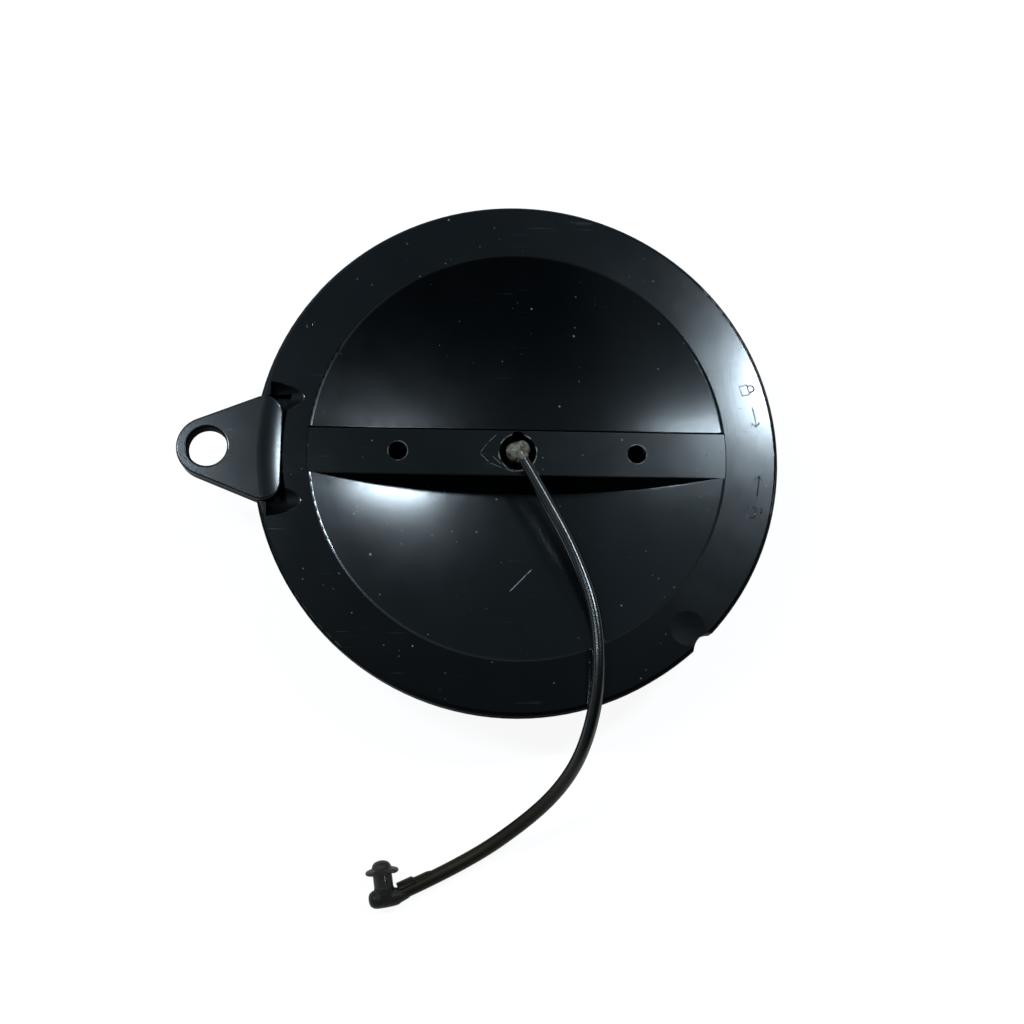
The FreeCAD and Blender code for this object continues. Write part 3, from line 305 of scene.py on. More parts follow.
def start_group(name, inputs, outputs):
    """A new shader node group; inputs are (name, type, default), outputs are (name, type)."""
    tree = bpy.data.node_groups.new(name, "ShaderNodeTree")
    for label, kind, default in inputs:
        socket = tree.interface.new_socket(label, in_out="INPUT", socket_type=kind)
        if default is not None:
            socket.default_value = default
    for label, kind in outputs:
        tree.interface.new_socket(label, in_out="OUTPUT", socket_type=kind)
    return tree, put(tree, "NodeGroupInput"), put(tree, "NodeGroupOutput")


def grain_group():
    """Moulded skin: a fine height and a cloudy roughness."""
    tree, given, out = start_group(
        "Mould Grain",
        (
            ("Vector", "NodeSocketVector", None),
            ("Scale", "NodeSocketFloat", 2500.0),
            ("Rough Low", "NodeSocketFloat", 0.2),
            ("Rough High", "NodeSocketFloat", 0.4),
        ),
        (("Height", "NodeSocketFloat"), ("Roughness", "NodeSocketFloat")),
    )
    fine = put(tree, "ShaderNodeTexNoise", {"Detail": 3.0, "Roughness": 0.6})
    cloudy = put(tree, "ShaderNodeTexNoise", {"Detail": 4.0, "Roughness": 0.55, "Scale": 55.0})
    tree.links.new(given.outputs["Vector"], fine.inputs["Vector"])
    tree.links.new(given.outputs["Scale"], fine.inputs["Scale"])
    tree.links.new(given.outputs["Vector"], cloudy.inputs["Vector"])
    tree.links.new(fine.outputs["Fac"], out.inputs["Height"])
    share = put(tree, "ShaderNodeMapRange", {"From Min": 0.3, "From Max": 0.7})
    tree.links.new(cloudy.outputs["Fac"], share.inputs["Value"])
    tree.links.new(given.outputs["Rough Low"], share.inputs["To Min"])
    tree.links.new(given.outputs["Rough High"], share.inputs["To Max"])
    tree.links.new(share.outputs["Result"], out.inputs["Roughness"])
    return tree


def dust_group():
    """Loose specks of dust, thinned out at random."""
    tree, given, out = start_group(
        "Dust Specks",
        (
            ("Vector", "NodeSocketVector", None),
            ("Scale", "NodeSocketFloat", 160.0),
            ("Size", "NodeSocketFloat", 0.05),
            ("Amount", "NodeSocketFloat", 0.15),
        ),
        (("Mask", "NodeSocketFloat"),),
    )
    cells = put(tree, "ShaderNodeTexVoronoi", {"Randomness": 1.0})
    tree.links.new(given.outputs["Vector"], cells.inputs["Vector"])
    tree.links.new(given.outputs["Scale"], cells.inputs["Scale"])
    parts = put(tree, "ShaderNodeSeparateColor")
    tree.links.new(cells.outputs["Color"], parts.inputs["Color"])
    kept = calculate(tree, "LESS_THAN", parts.outputs["Red"], given.outputs["Amount"])
    size = calculate(tree, "MULTIPLY", parts.outputs["Green"], given.outputs["Size"])
    share = calculate(tree, "DIVIDE", cells.outputs["Distance"], size)
    near = calculate(tree, "SUBTRACT", 1.0, share, clamp=True)
    tree.links.new(calculate(tree, "MULTIPLY", near, kept, clamp=True), out.inputs["Mask"])
    return tree


def hairline_group():
    """Fine handling scratches that lie mostly one way."""
    tree, given, out = start_group(
        "Hairlines",
        (
            ("Vector", "NodeSocketVector", None),
            ("Turn", "NodeSocketVector", (0.0, 0.0, 0.4)),
            ("Amount", "NodeSocketFloat", 0.25),
        ),
        (("Mask", "NodeSocketFloat"),),
    )
    lay = put(tree, "ShaderNodeMapping", {"Scale": (45.0, 2600.0, 45.0)})
    tree.links.new(given.outputs["Vector"], lay.inputs["Vector"])
    tree.links.new(given.outputs["Turn"], lay.inputs["Rotation"])
    streaks = put(tree, "ShaderNodeTexNoise", {"Scale": 1.0, "Detail": 1.0})
    tree.links.new(lay.outputs["Vector"], streaks.inputs["Vector"])
    patches = put(tree, "ShaderNodeTexNoise", {"Scale": 60.0, "Detail": 2.0})
    tree.links.new(given.outputs["Vector"], patches.inputs["Vector"])
    lines = spread(tree, streaks.outputs["Fac"], 0.70, 0.78)
    where = spread(tree, patches.outputs["Fac"], 0.52, 0.68)
    mask = calculate(tree, "MULTIPLY", lines, where)
    tree.links.new(calculate(tree, "MULTIPLY", mask, given.outputs["Amount"], clamp=True), out.inputs["Mask"])
    return tree


def shared_group(name, maker):
    """A node group by name, made on first use."""
    return bpy.data.node_groups.get(name) or maker()


class Finish:
    """A material under construction, with the sockets that its layers meet in."""

    def __init__(self, name, colour):
        self.material = bpy.data.materials.new(name)
        self.material.use_nodes = True
        self.material.diffuse_color = (*colour, 1)
        self.tree = self.material.node_tree
        self.shader = self.tree.nodes["Principled BSDF"]
        self.shader.inputs["Base Color"].default_value = (*colour, 1)
        self.place = put(self.tree, "ShaderNodeTexCoord").outputs["Object"]
        self.colour = colour
        self.roughness = None
        self.height = None

    def group(self, name, maker, **values):
        """Places a shared node group in this material."""
        made = put(self.tree, "ShaderNodeGroup", node_tree=shared_group(name, maker))
        self.tree.links.new(self.place, made.inputs["Vector"])
        for socket, value in values.items():
            made.inputs[socket.replace("_", " ").title()].default_value = value
        return made

    def grain(self, scale, low, high):
        """Gives the surface its moulded grain and uneven gloss."""
        made = self.group("Mould Grain", grain_group, scale=scale, rough_low=low, rough_high=high)
        self.roughness = made.outputs["Roughness"]
        self.height = made.outputs["Height"]

    def along(self, axis):
        """The place's coordinate along X, Y or Z."""
        parts = put(self.tree, "ShaderNodeSeparateXYZ")
        self.tree.links.new(self.place, parts.inputs["Vector"])
        return parts.outputs[axis]

    def noise(self, scale, detail, rough=0.5):
        """A cloudy value over the surface."""
        made = put(self.tree, "ShaderNodeTexNoise", {"Scale": scale, "Detail": detail, "Roughness": rough})
        self.tree.links.new(self.place, made.inputs["Vector"])
        return made.outputs["Fac"]

    def cover(self, mask, colour, rough):
        """Gives the masked places another colour and roughness."""
        self.colour = mix_colours(self.tree, mask, self.colour, colour)
        made = put(self.tree, "ShaderNodeMix", {"B": rough}, data_type="FLOAT")
        self.tree.links.new(mask, made.inputs["Factor"])
        self.tree.links.new(self.roughness, made.inputs["A"])
        self.roughness = made.outputs["Result"]

    def dull(self, mask, colour):
        """Leaves the masked places only a dim colour's reflection, as of a dark metal; the cap's finishes
        paint shade with it, the cord dulls its worn end with it.
        """
        self.cover(mask, colour, 0.6)
        self.tree.links.new(mask, self.shader.inputs["Metallic"])

    def dust(self, colour, rough, **values):
        """Strews specks of dust over the surface."""
        specks = self.group("Dust Specks", dust_group, **values)
        self.cover(specks.outputs["Mask"], colour, rough)

    def done(self, bump_distance, bump_strength):
        """Joins the layers to the shader and returns the material."""
        if isinstance(self.colour, bpy.types.NodeSocket):
            self.tree.links.new(self.colour, self.shader.inputs["Base Color"])
        self.tree.links.new(self.roughness, self.shader.inputs["Roughness"])
        bump = put(self.tree, "ShaderNodeBump", {"Strength": bump_strength, "Distance": bump_distance})
        self.tree.links.new(self.height, bump.inputs["Height"])
        self.tree.links.new(bump.outputs["Normal"], self.shader.inputs["Normal"])
        return self.material


def black_plastic(name, colour, roughness, cap, dust_share=1.0, hairlines=0.10):
    """Black moulded plastic with dust and handling marks."""
    dust = tuple(cap.dust_colour)
    fine_dust = tuple(level * FINE_DUST_SHARE for level in dust)
    amount = cap.dust_amount * dust_share
    finish = Finish(name, tuple(colour))
    finish.grain(2200.0, roughness - 0.012, roughness + 0.015)
    finish.dust(dust, 0.8, scale=210.0, size=0.11, amount=amount)
    finish.dust(fine_dust, 0.7, scale=620.0, size=0.26, amount=amount * 0.5)
    lines = finish.group("Hairlines", hairline_group, amount=hairlines)
    finish.cover(lines.outputs["Mask"], dust, 0.55)
    return finish


def line_mask(finish, start, end, width):
    """A mask of one straight scratch between two points, seen from above."""
    tree = finish.tree
    run = Vector(end) - Vector(start)
    across = put(tree, "ShaderNodeMapping", vector_type="TEXTURE")
    across.inputs["Location"].default_value = (start[0], start[1], 0)
    across.inputs["Rotation"].default_value = (0, 0, math.atan2(run.y, run.x))
    tree.links.new(finish.place, across.inputs["Vector"])
    parts = put(tree, "ShaderNodeSeparateXYZ")
    tree.links.new(across.outputs["Vector"], parts.inputs["Vector"])
    wobble = finish.noise(420.0, 3.0)
    bend = calculate(tree, "MULTIPLY", calculate(tree, "SUBTRACT", wobble, 0.5), width * 2)
    offset = calculate(tree, "ABSOLUTE", calculate(tree, "ADD", parts.outputs["Y"], bend))
    near = spread(tree, offset, width * 0.3, width, 1.0, 0.0)
    begun = spread(tree, parts.outputs["X"], 0.0, 0.001)
    ended = spread(tree, parts.outputs["X"], run.length - 0.001, run.length, 1.0, 0.0)
    broken = spread(tree, wobble, 0.38, 0.55, 0.25, 1.0)
    mask = calculate(tree, "MULTIPLY", calculate(tree, "MULTIPLY", near, begun), ended)
    return calculate(tree, "MULTIPLY", mask, broken, clamp=True)


def reach_from(finish, centre):
    """How far a place is from an upright axis through a point."""
    tree = finish.tree
    about = put(tree, "ShaderNodeMapping", {"Scale": (1.0, 1.0, 0.0)})
    about.inputs["Location"].default_value = (-centre[0], -centre[1], 0)
    tree.links.new(finish.place, about.inputs["Vector"])
    reach = put(tree, "ShaderNodeVectorMath", operation="LENGTH")
    tree.links.new(about.outputs["Vector"], reach.inputs[0])
    return reach.outputs["Value"]


def worn_edge_mask(finish, centre, radius, width):
    """A mask of patchy wear on a hole's edge in the bar's face."""
    tree = finish.tree
    outside = calculate(tree, "SUBTRACT", reach_from(finish, centre), radius)
    near = spread(tree, calculate(tree, "ABSOLUTE", outside), width * 0.3, width, 1.0, 0.0)
    patches = spread(tree, finish.noise(330.0, 3.0), 0.42, 0.62)
    return calculate(tree, "MULTIPLY", near, patches, clamp=True)


def recess_mask(finish, centre, radius, face, fade=RECESS_FADE):
    """A mask of the places near an upright axis that lie just below a face, full at the fade's depth."""
    tree = finish.tree
    height = finish.along("Z")
    below = spread(tree, height, face - fade, face - 0.00001, 1.0, 0.0)
    above = spread(tree, height, face - RECESS_DEPTH - 0.0005, face - RECESS_DEPTH)
    inside = spread(tree, reach_from(finish, centre), radius, radius + 0.0004, 1.0, 0.0)
    return calculate(tree, "MULTIPLY", calculate(tree, "MULTIPLY", below, above), inside, clamp=True)


def rim_edge_mask(finish):
    """A mask of the rim's rounded edge, where shade is painted."""
    tree = finish.tree
    foot = FLANGE_TOP - RIM_EDGE_HEIGHT
    high = spread(tree, finish.along("Z"), foot, foot + 0.0004)
    outer = spread(tree, reach_from(finish, (0, 0)), RIM_EDGE_RADIUS, RIM_EDGE_RADIUS + 0.0002)
    return calculate(tree, "MULTIPLY", high, outer, clamp=True)


def far_edge_shade_mask(finish):
    """A mask of the bar's far edge, where a dark line of shade is painted."""
    tree = finish.tree
    foot = BAR_TOP - FAR_EDGE_HEIGHT
    high = spread(tree, finish.along("Z"), foot, foot + 0.0010)
    inward = calculate(tree, "SUBTRACT", finish.along("Y"), BAR_HALF - FAR_EDGE_WIDTH / 2)
    reach = calculate(tree, "ABSOLUTE", inward)
    near = spread(tree, reach, FAR_EDGE_WIDTH * 0.4, FAR_EDGE_WIDTH * 0.6, 1.0, 0.0)
    return calculate(tree, "MULTIPLY", high, near, clamp=True)


# Mesh helpers

def axes_at(place, z_axis, x_hint):
    """The matrix that puts a shape made about +Z at a place, with +Z along an axis."""
    z = z_axis.normalized()
    x = (x_hint - z * x_hint.dot(z)).normalized()
    y = z.cross(x)
    turn = Matrix((x, y, z)).transposed().to_4x4()
    return Matrix.Translation(place) @ turn


def turn_profile(bm, profile, place, steps=48):
    """Spins a profile of (radius, height) pairs in mm about +Z and puts it in place."""
    before = set(bm.verts)
    chain = [bm.verts.new((radius * MM, 0, height * MM)) for radius, height in profile]
    edges = [bm.edges.new(pair) for pair in zip(chain, chain[1:])]
    bmesh.ops.spin(
        bm, geom=chain + edges, cent=(0, 0, 0), axis=UP, angle=math.tau, steps=steps, use_merge=True
    )
    made = [vert for vert in bm.verts if vert not in before]
    bmesh.ops.remove_doubles(bm, verts=made, dist=1e-7)
    made = [vert for vert in bm.verts if vert not in before]
    bmesh.ops.transform(bm, matrix=place, verts=made)


def add_piece(name, bm, material, body, sharp_degrees=40):
    """Puts a bmesh into the scene as a piece that rides on a body."""
    bmesh.ops.remove_doubles(bm, verts=bm.verts, dist=1e-7)
    bmesh.ops.recalc_face_normals(bm, faces=bm.faces)
    mesh = bpy.data.meshes.new(name)
    bm.to_mesh(mesh)
    bm.free()
    mesh.shade_smooth()
    mesh.set_sharp_from_angle(angle=math.radians(sharp_degrees))
    mesh.materials.append(material)
    piece = bpy.data.objects.new(name, mesh)
    bpy.context.scene.collection.objects.link(piece)
    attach(piece, body)
    return piece


def settle_modifiers(piece):
    """Turns a piece's modifiers into its mesh."""
    graph = bpy.context.evaluated_depsgraph_get()
    mesh = bpy.data.meshes.new_from_object(piece.evaluated_get(graph))
    mesh.name = piece.name
    piece.modifiers.clear()
    old = piece.data
    piece.data = mesh
    bpy.data.meshes.remove(old)
    mesh.shade_smooth()


def melt_together(piece, voxel, rounds):
    """Joins a piece's overlapping shells into one soft skin."""
    remesh = piece.modifiers.new("Skin", "REMESH")
    remesh.mode = "VOXEL"
    remesh.voxel_size = voxel
    soften = piece.modifiers.new("Soften", "SMOOTH")
    soften.factor = 0.5
    soften.iterations = rounds
    settle_modifiers(piece)


def dress_node(node, material):
    """Gives a CAD node its finish."""
    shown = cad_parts[node]
    for slot in shown.material_slots:
        slot.material = material


class HOSECAP_OT_cap_finish(Operator):
    """Gives the ring, bowl, lug and hidden stud their finishes"""
    bl_idname = "hosecap.cap_finish"
    bl_label = "Cap Finishes"

    def ring_finish(self, cap):
        """Satin black, with painted shade in the scoops beside the lug and on the rim's edge."""
        ring = black_plastic("ring_satin_black", cap.ring_colour, cap.ring_roughness, cap)
        tree = ring.tree
        scoops = [
            recess_mask(ring, (SCOOP_X, side * SCOOP_Y), SCOOP_REACH, FLANGE_TOP, SCOOP_FADE)
            for side in (-1, 1)
        ]
        reach = reach_from(ring, (0, 0))
        inward = spread(tree, reach, RIM_EDGE_RADIUS - 0.001, RIM_EDGE_RADIUS, 1.0, 0.0)
        recessed = calculate(tree, "MULTIPLY", calculate(tree, "MAXIMUM", *scoops), inward)
        recessed = calculate(tree, "MULTIPLY", recessed, SCOOP_SHADE_SHARE)
        # Painted shade: the scoops and the rim's rounded edge lose their shine and take a near-black colour.
        ring.dull(calculate(tree, "MAXIMUM", recessed, rim_edge_mask(ring)), PAINTED_SHADE_COLOUR)
        dress_node("outer_ring", ring.done(GRAIN_DEPTH, 0.12))

    def bowl_finish(self, cap):
        """Gloss black with a scratch, scuffs and worn hole edges, with painted shade in the socket and along
        the bar's far edge.
        """
        bowl = black_plastic("bowl_gloss_black", cap.bowl_colour, cap.bowl_roughness, cap)
        bowl.cover(line_mask(bowl, *BOWL_SCRATCH, BOWL_SCRATCH_WIDTH), SCRATCH_COLOUR, 0.5)
        for start, end in SOCKET_SCUFFS:
            bowl.cover(line_mask(bowl, start, end, SOCKET_SCUFF_WIDTH), SCUFF_COLOUR, 0.55)
        socket_edge = worn_edge_mask(bowl, (0, 0), SOCKET_RADIUS + 0.00015, 0.0003)
        bowl.cover(socket_edge, SOCKET_EDGE_COLOUR, 0.45)
        for side in (-1, 1):
            hole_edge = worn_edge_mask(bowl, (side * BAR_HOLE_REACH, 0), BAR_HOLE_RADIUS + 0.0001, 0.0002)
            bowl.cover(hole_edge, HOLE_EDGE_COLOUR, 0.45)
        # Painted shade: the socket and the bar's far edge lose their shine and take a near-black colour.
        socket = recess_mask(bowl, (0, 0), SOCKET_RADIUS + 0.0011, BAR_TOP)
        bowl.dull(calculate(bowl.tree, "MAXIMUM", socket, far_edge_shade_mask(bowl)), PAINTED_SHADE_COLOUR)
        dress_node("grip_bowl", bowl.done(GRAIN_DEPTH, 0.1))

    def lug_finish(self, cap):
        """Satin black with less dust, with painted shade in the padlock hole."""
        lug = black_plastic("lug_satin_black", cap.lug_colour, cap.lug_roughness, cap, 0.7, 0.08)
        # Painted shade: the padlock hole's wall loses its shine and takes a near-black colour.
        lug.dull(recess_mask(lug, (PADLOCK_X, 0), PADLOCK_RADIUS + 0.0002, LUG_TOP), PAINTED_SHADE_COLOUR)
        dress_node("locking_lug", lug.done(GRAIN_DEPTH, 0.15))

    def stud_finish(self, tether):
        """Dull brown plastic, which the far stud has too."""
        stud = Finish("stud_brown_plastic", tuple(tether.stud_colour))
        stud.grain(1800.0, 0.42, 0.58)
        stud.dust(STUD_DUST_COLOUR, 0.8, scale=900.0, size=0.2, amount=0.1)
        stud.shader.inputs["Specular IOR Level"].default_value = 0.2
        dress_node("swivel_stud", stud.done(0.00008, 0.4))

    def execute(self, context):
        cap = context.scene.hosecap_cap
        self.ring_finish(cap)
        self.bowl_finish(cap)
        self.lug_finish(cap)
        self.stud_finish(context.scene.hosecap_tether)
        return {"FINISHED"}


def on_flange(place, circle, angle, height):
    """A flat place in mm, x along the rim and y outwards, bent onto the flange at a height above it."""
    turn = angle + place[0] * MM / circle
    reach = circle + place[1] * MM
    return (reach * math.cos(turn), reach * math.sin(turn), FLANGE_TOP + height, 1)


def round_bow(middle, radius, steps):
    """Points of a half circle in mm, open towards -y."""
    turns = [math.pi * step / steps for step in range(steps + 1)]
    return [(middle[0] + radius * math.cos(turn), middle[1] + radius * math.sin(turn)) for turn in turns]


class HOSECAP_OT_turn_marks(Operator):
    """Raises plain arrows and padlock signs that show which way the cap closes and opens"""
    bl_idname = "hosecap.turn_marks"
    bl_label = "Turn Marks"

    def sign(self, marks, name, lines, circle, angle):
        """Raised lines on the flange, mostly sunk in it."""
        curve = bpy.data.curves.new(name, "CURVE")
        curve.dimensions = "3D"
        curve.bevel_depth = marks.line_width / 2
        curve.bevel_resolution = 3
        curve.use_fill_caps = True
        for line, closed in lines:
            spline = curve.splines.new("POLY")
            spline.points.add(len(line) - 1)
            spline.use_cyclic_u = closed
            for point, place in zip(spline.points, line):
                point.co = on_flange(place, circle, angle, marks.height - marks.line_width / 2)
        curve.materials.append(bpy.data.materials["ring_satin_black"])
        sign = bpy.data.objects.new(name, curve)
        bpy.context.scene.collection.objects.link(sign)
        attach(sign, "cap")

    def arrow(self, marks, name, angle, way):
        """A thin arrow along the rim; way is -1 for clockwise."""
        stem = [(x * way, 0.0) for x in (-3.4, -1.7, 0.0, 1.7, 3.4)]
        head = [(1.9 * way, 1.3), (3.4 * way, 0.0), (1.9 * way, -1.3)]
        self.sign(marks, name, ((stem, False), (head, False)), marks.circle, angle)

    def padlock(self, marks, name, angle, opened):
        """A small padlock sign in outline, with its bow closed or swung aside."""
        body = [(-1.7, -2.2), (1.7, -2.2), (1.7, 0.4), (-1.7, 0.4)]
        shift = 1.2 if opened else 0.0
        bow = [(1.05 + shift, 0.4)] + round_bow((shift, 1.3), 1.05, 8)
        if not opened:
            bow.append((-1.05, 0.4))
        self.sign(marks, name, ((body, True), (bow, False)), marks.circle, angle)

    def execute(self, context):
        marks = context.scene.hosecap_marks
        self.arrow(marks, "close_arrow", CLOSE_ARROW_ANGLE, -1)
        self.arrow(marks, "open_arrow", OPEN_ARROW_ANGLE, 1)
        self.padlock(marks, "closed_lock_sign", CLOSED_LOCK_ANGLE, False)
        self.padlock(marks, "open_lock_sign", OPEN_LOCK_ANGLE, True)
        triangle = [(-1.7, -1.2), (1.7, -1.2), (0.0, 1.5)]
        self.sign(marks, "index_triangle", ((triangle, True),), marks.index_circle, INDEX_ANGLE)
        return {"FINISHED"}


class HOSECAP_OT_ball_end(Operator):
    """Makes the tether's lumpy ball end, which turns in the bar's socket"""
    bl_idname = "hosecap.ball_end"
    bl_label = "Ball End"

    def rubber(self, tether):
        """Worn rubber, stained in patches, with painted shade at its foot."""
        rubber = Finish("ball_worn_rubber", tuple(tether.ball_colour))
        rubber.grain(700.0, 0.16, 0.30)
        stains = spread(rubber.tree, rubber.noise(520.0, 4.0, 0.6), 0.46, 0.66)
        rubber.cover(stains, BALL_STAIN_COLOUR, 0.3)
        # Painted shade: the ball's lower part darkens towards the bar.
        foot = spread(rubber.tree, rubber.along("Z"), *BALL_FOOT, 1.0, 0.0)
        rubber.cover(foot, BALL_FOOT_SHADE_COLOUR, 0.5)
        return rubber.done(0.0004, 0.55)

    def execute(self, context):
        out = Vector((math.cos(CORD_EXIT_ANGLE), math.sin(CORD_EXIT_ANGLE), 0))
        across = UP.cross(out)
        bm = bmesh.new()
        lumps = (
            (BALL_CENTRE - across * 1.35 * MM - out * 0.1 * MM, (3.0, 2.6, 3.5)),
            (BALL_CENTRE + across * 1.75 * MM + out * 0.1 * MM, (2.6, 2.1, 3.1)),
        )
        for place, radii in lumps:
            lump = bmesh.ops.create_uvsphere(bm, u_segments=32, v_segments=20, radius=MM)["verts"]
            stretch = Matrix.Diagonal((*radii, 1))
            bmesh.ops.transform(bm, matrix=axes_at(place, UP, out) @ stretch, verts=lump)
        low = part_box("swivel_elbow")[0].z / MM
        collar = [(0, low), (3.3, low), (3.6, low + 0.4), (3.6, 33.4), (3.2, 34.9), (0, 35.5)]
        turn_profile(bm, collar, Matrix.Identity(4))
        sprout = [(0, -1.5), (2.5, -1.5), (2.4, 1.6), (2.1, 3.1), (1.95, 3.45), (0, 3.45)]
        turn_profile(bm, sprout, axes_at(BALL_CENTRE, out, UP))

        material = self.rubber(context.scene.hosecap_tether)
        ball = add_piece("ball_end", bm, material, "tether")
        melt_together(ball, SKIN_VOXEL, 3)
        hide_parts("swivel_elbow")
        return {"FINISHED"}


def route_curve(name):
    """The cord's centreline, one open spline on the route's points."""
    curve = bpy.data.curves.new(name, "CURVE")
    curve.dimensions = "3D"
    spline = curve.splines.new("NURBS")
    spline.points.add(len(CORD_ROUTE) - 1)
    for point, place, share in zip(spline.points, CORD_ROUTE, CORD_THICKNESS_AT_POINTS):
        point.co = (*place, 1)
        point.radius = share
    spline.order_u = 3
    spline.use_endpoint_u = True
    spline.resolution_u = 20
    cord = bpy.data.objects.new(name, curve)
    bpy.context.scene.collection.objects.link(cord)
    return cord


def centreline_points():
    """Points along the cord's centreline, from its far end."""
    line = route_curve("centreline")
    graph = bpy.context.evaluated_depsgraph_get()
    mesh = bpy.data.meshes.new_from_object(line.evaluated_get(graph))
    points = [vert.co.copy() for vert in mesh.vertices]
    curve = line.data
    bpy.data.objects.remove(line)
    bpy.data.curves.remove(curve)
    bpy.data.meshes.remove(mesh)
    if (points[0] - Vector(CORD_ROUTE[-1])).length > 0.001:
        points.reverse()
    return points


def point_along(line, reach):
    """The point at a distance along a line of points, and the line's direction there."""
    for first, second in zip(line, line[1:]):
        run = (second - first).length
        if reach <= run:
            return first.lerp(second, reach / run), (second - first).normalized()
        reach -= run
    raise RuntimeError("the line is shorter than the reach")


def cut_blocks(piece, blocks, place):
    """Cuts blocks out of a piece; each is a middle and its sides in mm, in the axes of a place."""
    bm = bmesh.new()
    for middle, sides in blocks:
        block = bmesh.ops.create_cube(bm, size=1.0)["verts"]
        size = Matrix.Diagonal((*(side * MM for side in sides), 1))
        spot = Matrix.Translation(Vector(middle) * MM)
        bmesh.ops.transform(bm, matrix=place @ spot @ size, verts=block)
    mesh = bpy.data.meshes.new("cutter")
    bm.to_mesh(mesh)
    bm.free()
    cutter = bpy.data.objects.new("cutter", mesh)
    bpy.context.scene.collection.objects.link(cutter)
    cut = piece.modifiers.new("Cut", "BOOLEAN")
    cut.operation = "DIFFERENCE"
    cut.solver = "EXACT"
    cut.object = cutter
    settle_modifiers(piece)
    bpy.data.objects.remove(cutter)
    bpy.data.meshes.remove(mesh)


class HOSECAP_OT_far_fitting(Operator):
    """Makes the elbow, split stud and stepped sleeve at the tether's far end"""
    bl_idname = "hosecap.far_fitting"
    bl_label = "Far Fitting"

    def elbow_rubber(self, tether):
        """Dusty rubber with pale stains."""
        rubber = Finish("elbow_dusty_rubber", tuple(tether.elbow_colour))
        rubber.grain(1100.0, 0.42, 0.62)
        stains = spread(rubber.tree, rubber.noise(300.0, 4.0, 0.6), 0.5, 0.75)
        rubber.cover(stains, ELBOW_STAIN_COLOUR, 0.7)
        rubber.dust(ELBOW_DUST_COLOUR, 0.8, scale=800.0, size=0.16, amount=0.10)
        rubber.shader.inputs["Specular IOR Level"].default_value = 0.12
        return rubber.done(0.0002, 0.35)

    def elbow(self, tether, along):
        """The elbow's barrel with its neck, and the web that runs into the cord."""
        bm = bmesh.new()
        barrel = [
            (0, -5.1), (1.1, -5.05), (2.1, -4.6), (2.75, -3.7), (3.0, -2.5), (3.05, 0.0), (2.95, 2.6),
            (2.75, 4.1), (2.4, 4.9), (0, 4.9),
        ]
        turn_profile(bm, barrel, axes_at(ELBOW_PLACE, BARREL_AXIS, UP))
        neck = [(0, -3.0), (3.35, -3.0), (3.2, -0.6), (3.1, 0.0), (0, 0.0)]
        turn_profile(bm, neck, axes_at(STUD_SEAT, STUD_AXIS, UP))
        web = [(0, -3.0), (2.6, -3.0), (2.45, 0.0), (2.2, 2.2), (1.6, 3.6), (0, 3.6)]
        under = Vector(CORD_ROUTE[-1]) - STUD_AXIS * 0.35 * MM
        turn_profile(bm, web, axes_at(under, along, UP))

        piece = add_piece("far_elbow", bm, self.elbow_rubber(tether), "tether")
        melt_together(piece, SKIN_VOXEL, 5)
        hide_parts("tube_end_elbow")

    def stud(self, tether, along):
        """The snap stud, turned, then slit, with flats that leave its brim two wings."""
        bm = bmesh.new()
        profile = [
            (0, -0.4), (3.1, -0.4), (3.1, 3.6), (3.35, 4.2), (3.8, 4.35), (4.5, 4.1), (4.95, 4.0),
            (5.25, 4.15), (5.4, 4.5), (5.3, 4.9), (5.0, 5.2), (4.4, 5.45), (3.6, 5.65), (3.2, 5.9),
            (3.0, 6.5), (2.7, 7.1), (2.1, 7.65), (1.3, 7.95), (0.6, 8.1), (0, 8.1),
        ]
        place = axes_at(STUD_SEAT, STUD_AXIS, along)
        turn_profile(bm, profile, place, 56)
        material = bpy.data.materials["stud_brown_plastic"]
        piece = add_piece("far_stud", bm, material, "tether", STUD_SHARP_DEGREES)
        slit = ((0.6, 0.0, 2.2), (tether.stud_split / MM, 6.5, 3.0))
        flats = [((0.0, side * 5.4, 6.0), (20.0, 4.0, 12.0)) for side in (1, -1)]
        cut_blocks(piece, (slit, *flats), place)
        piece.data.set_sharp_from_angle(angle=math.radians(STUD_SHARP_DEGREES))
        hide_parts("tube_end_stud")

    def sleeve(self, line):
        """The stepped sleeve on the cord's upper side, laid along the cord's line."""
        bm = bmesh.new()
        steps = ((0.05, 1.25), (5.3, 1.25), (5.7, 0.95), (6.0, 0.6), (10.5, 0.5), (12.0, 0.15))
        turns_up = range(-SLEEVE_HALF_ARC, SLEEVE_HALF_ARC + 1, SLEEVE_ARC_STEP)
        arc = [math.radians(turn) for turn in turns_up]
        rings = []
        for reach, wall in steps:
            place, ahead = point_along(line, reach * MM)
            side = (STUD_AXIS - ahead * STUD_AXIS.dot(ahead)).normalized()
            level = ahead.cross(side)
            ring = []
            for radius, turns in ((SLEEVE_FOOT + wall, arc), (SLEEVE_INSIDE, arc[::-1])):
                for turn in turns:
                    spot = place + (side * math.cos(turn) + level * math.sin(turn)) * radius * MM
                    ring.append(bm.verts.new(spot))
            rings.append([bm.edges.new((a, b)) for a, b in zip(ring, ring[1:] + ring[:1])])
        for first, second in zip(rings, rings[1:]):
            bmesh.ops.bridge_loops(bm, edges=first + second)
        for ring in (rings[0], rings[-1]):
            bmesh.ops.contextual_create(bm, geom=ring)
        sharp = [edge for edge in bm.edges if edge.is_manifold and edge.calc_face_angle() > 0.9]
        bmesh.ops.bevel(
            bm, geom=sharp, offset=0.00012, affect="EDGES", segments=2, profile=0.5, material=-1,
            clamp_overlap=True,
        )
        material = bpy.data.materials["cord_satin_rubber"]
        piece = add_piece("far_sleeve", bm, material, "tether")
        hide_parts("tube_end_sleeve")

    def execute(self, context):
        tether = context.scene.hosecap_tether
        line = centreline_points()
        along = (line[1] - line[0]).normalized()
        self.elbow(tether, along)
        self.stud(tether, along)
        self.sleeve(line)
        return {"FINISHED"}


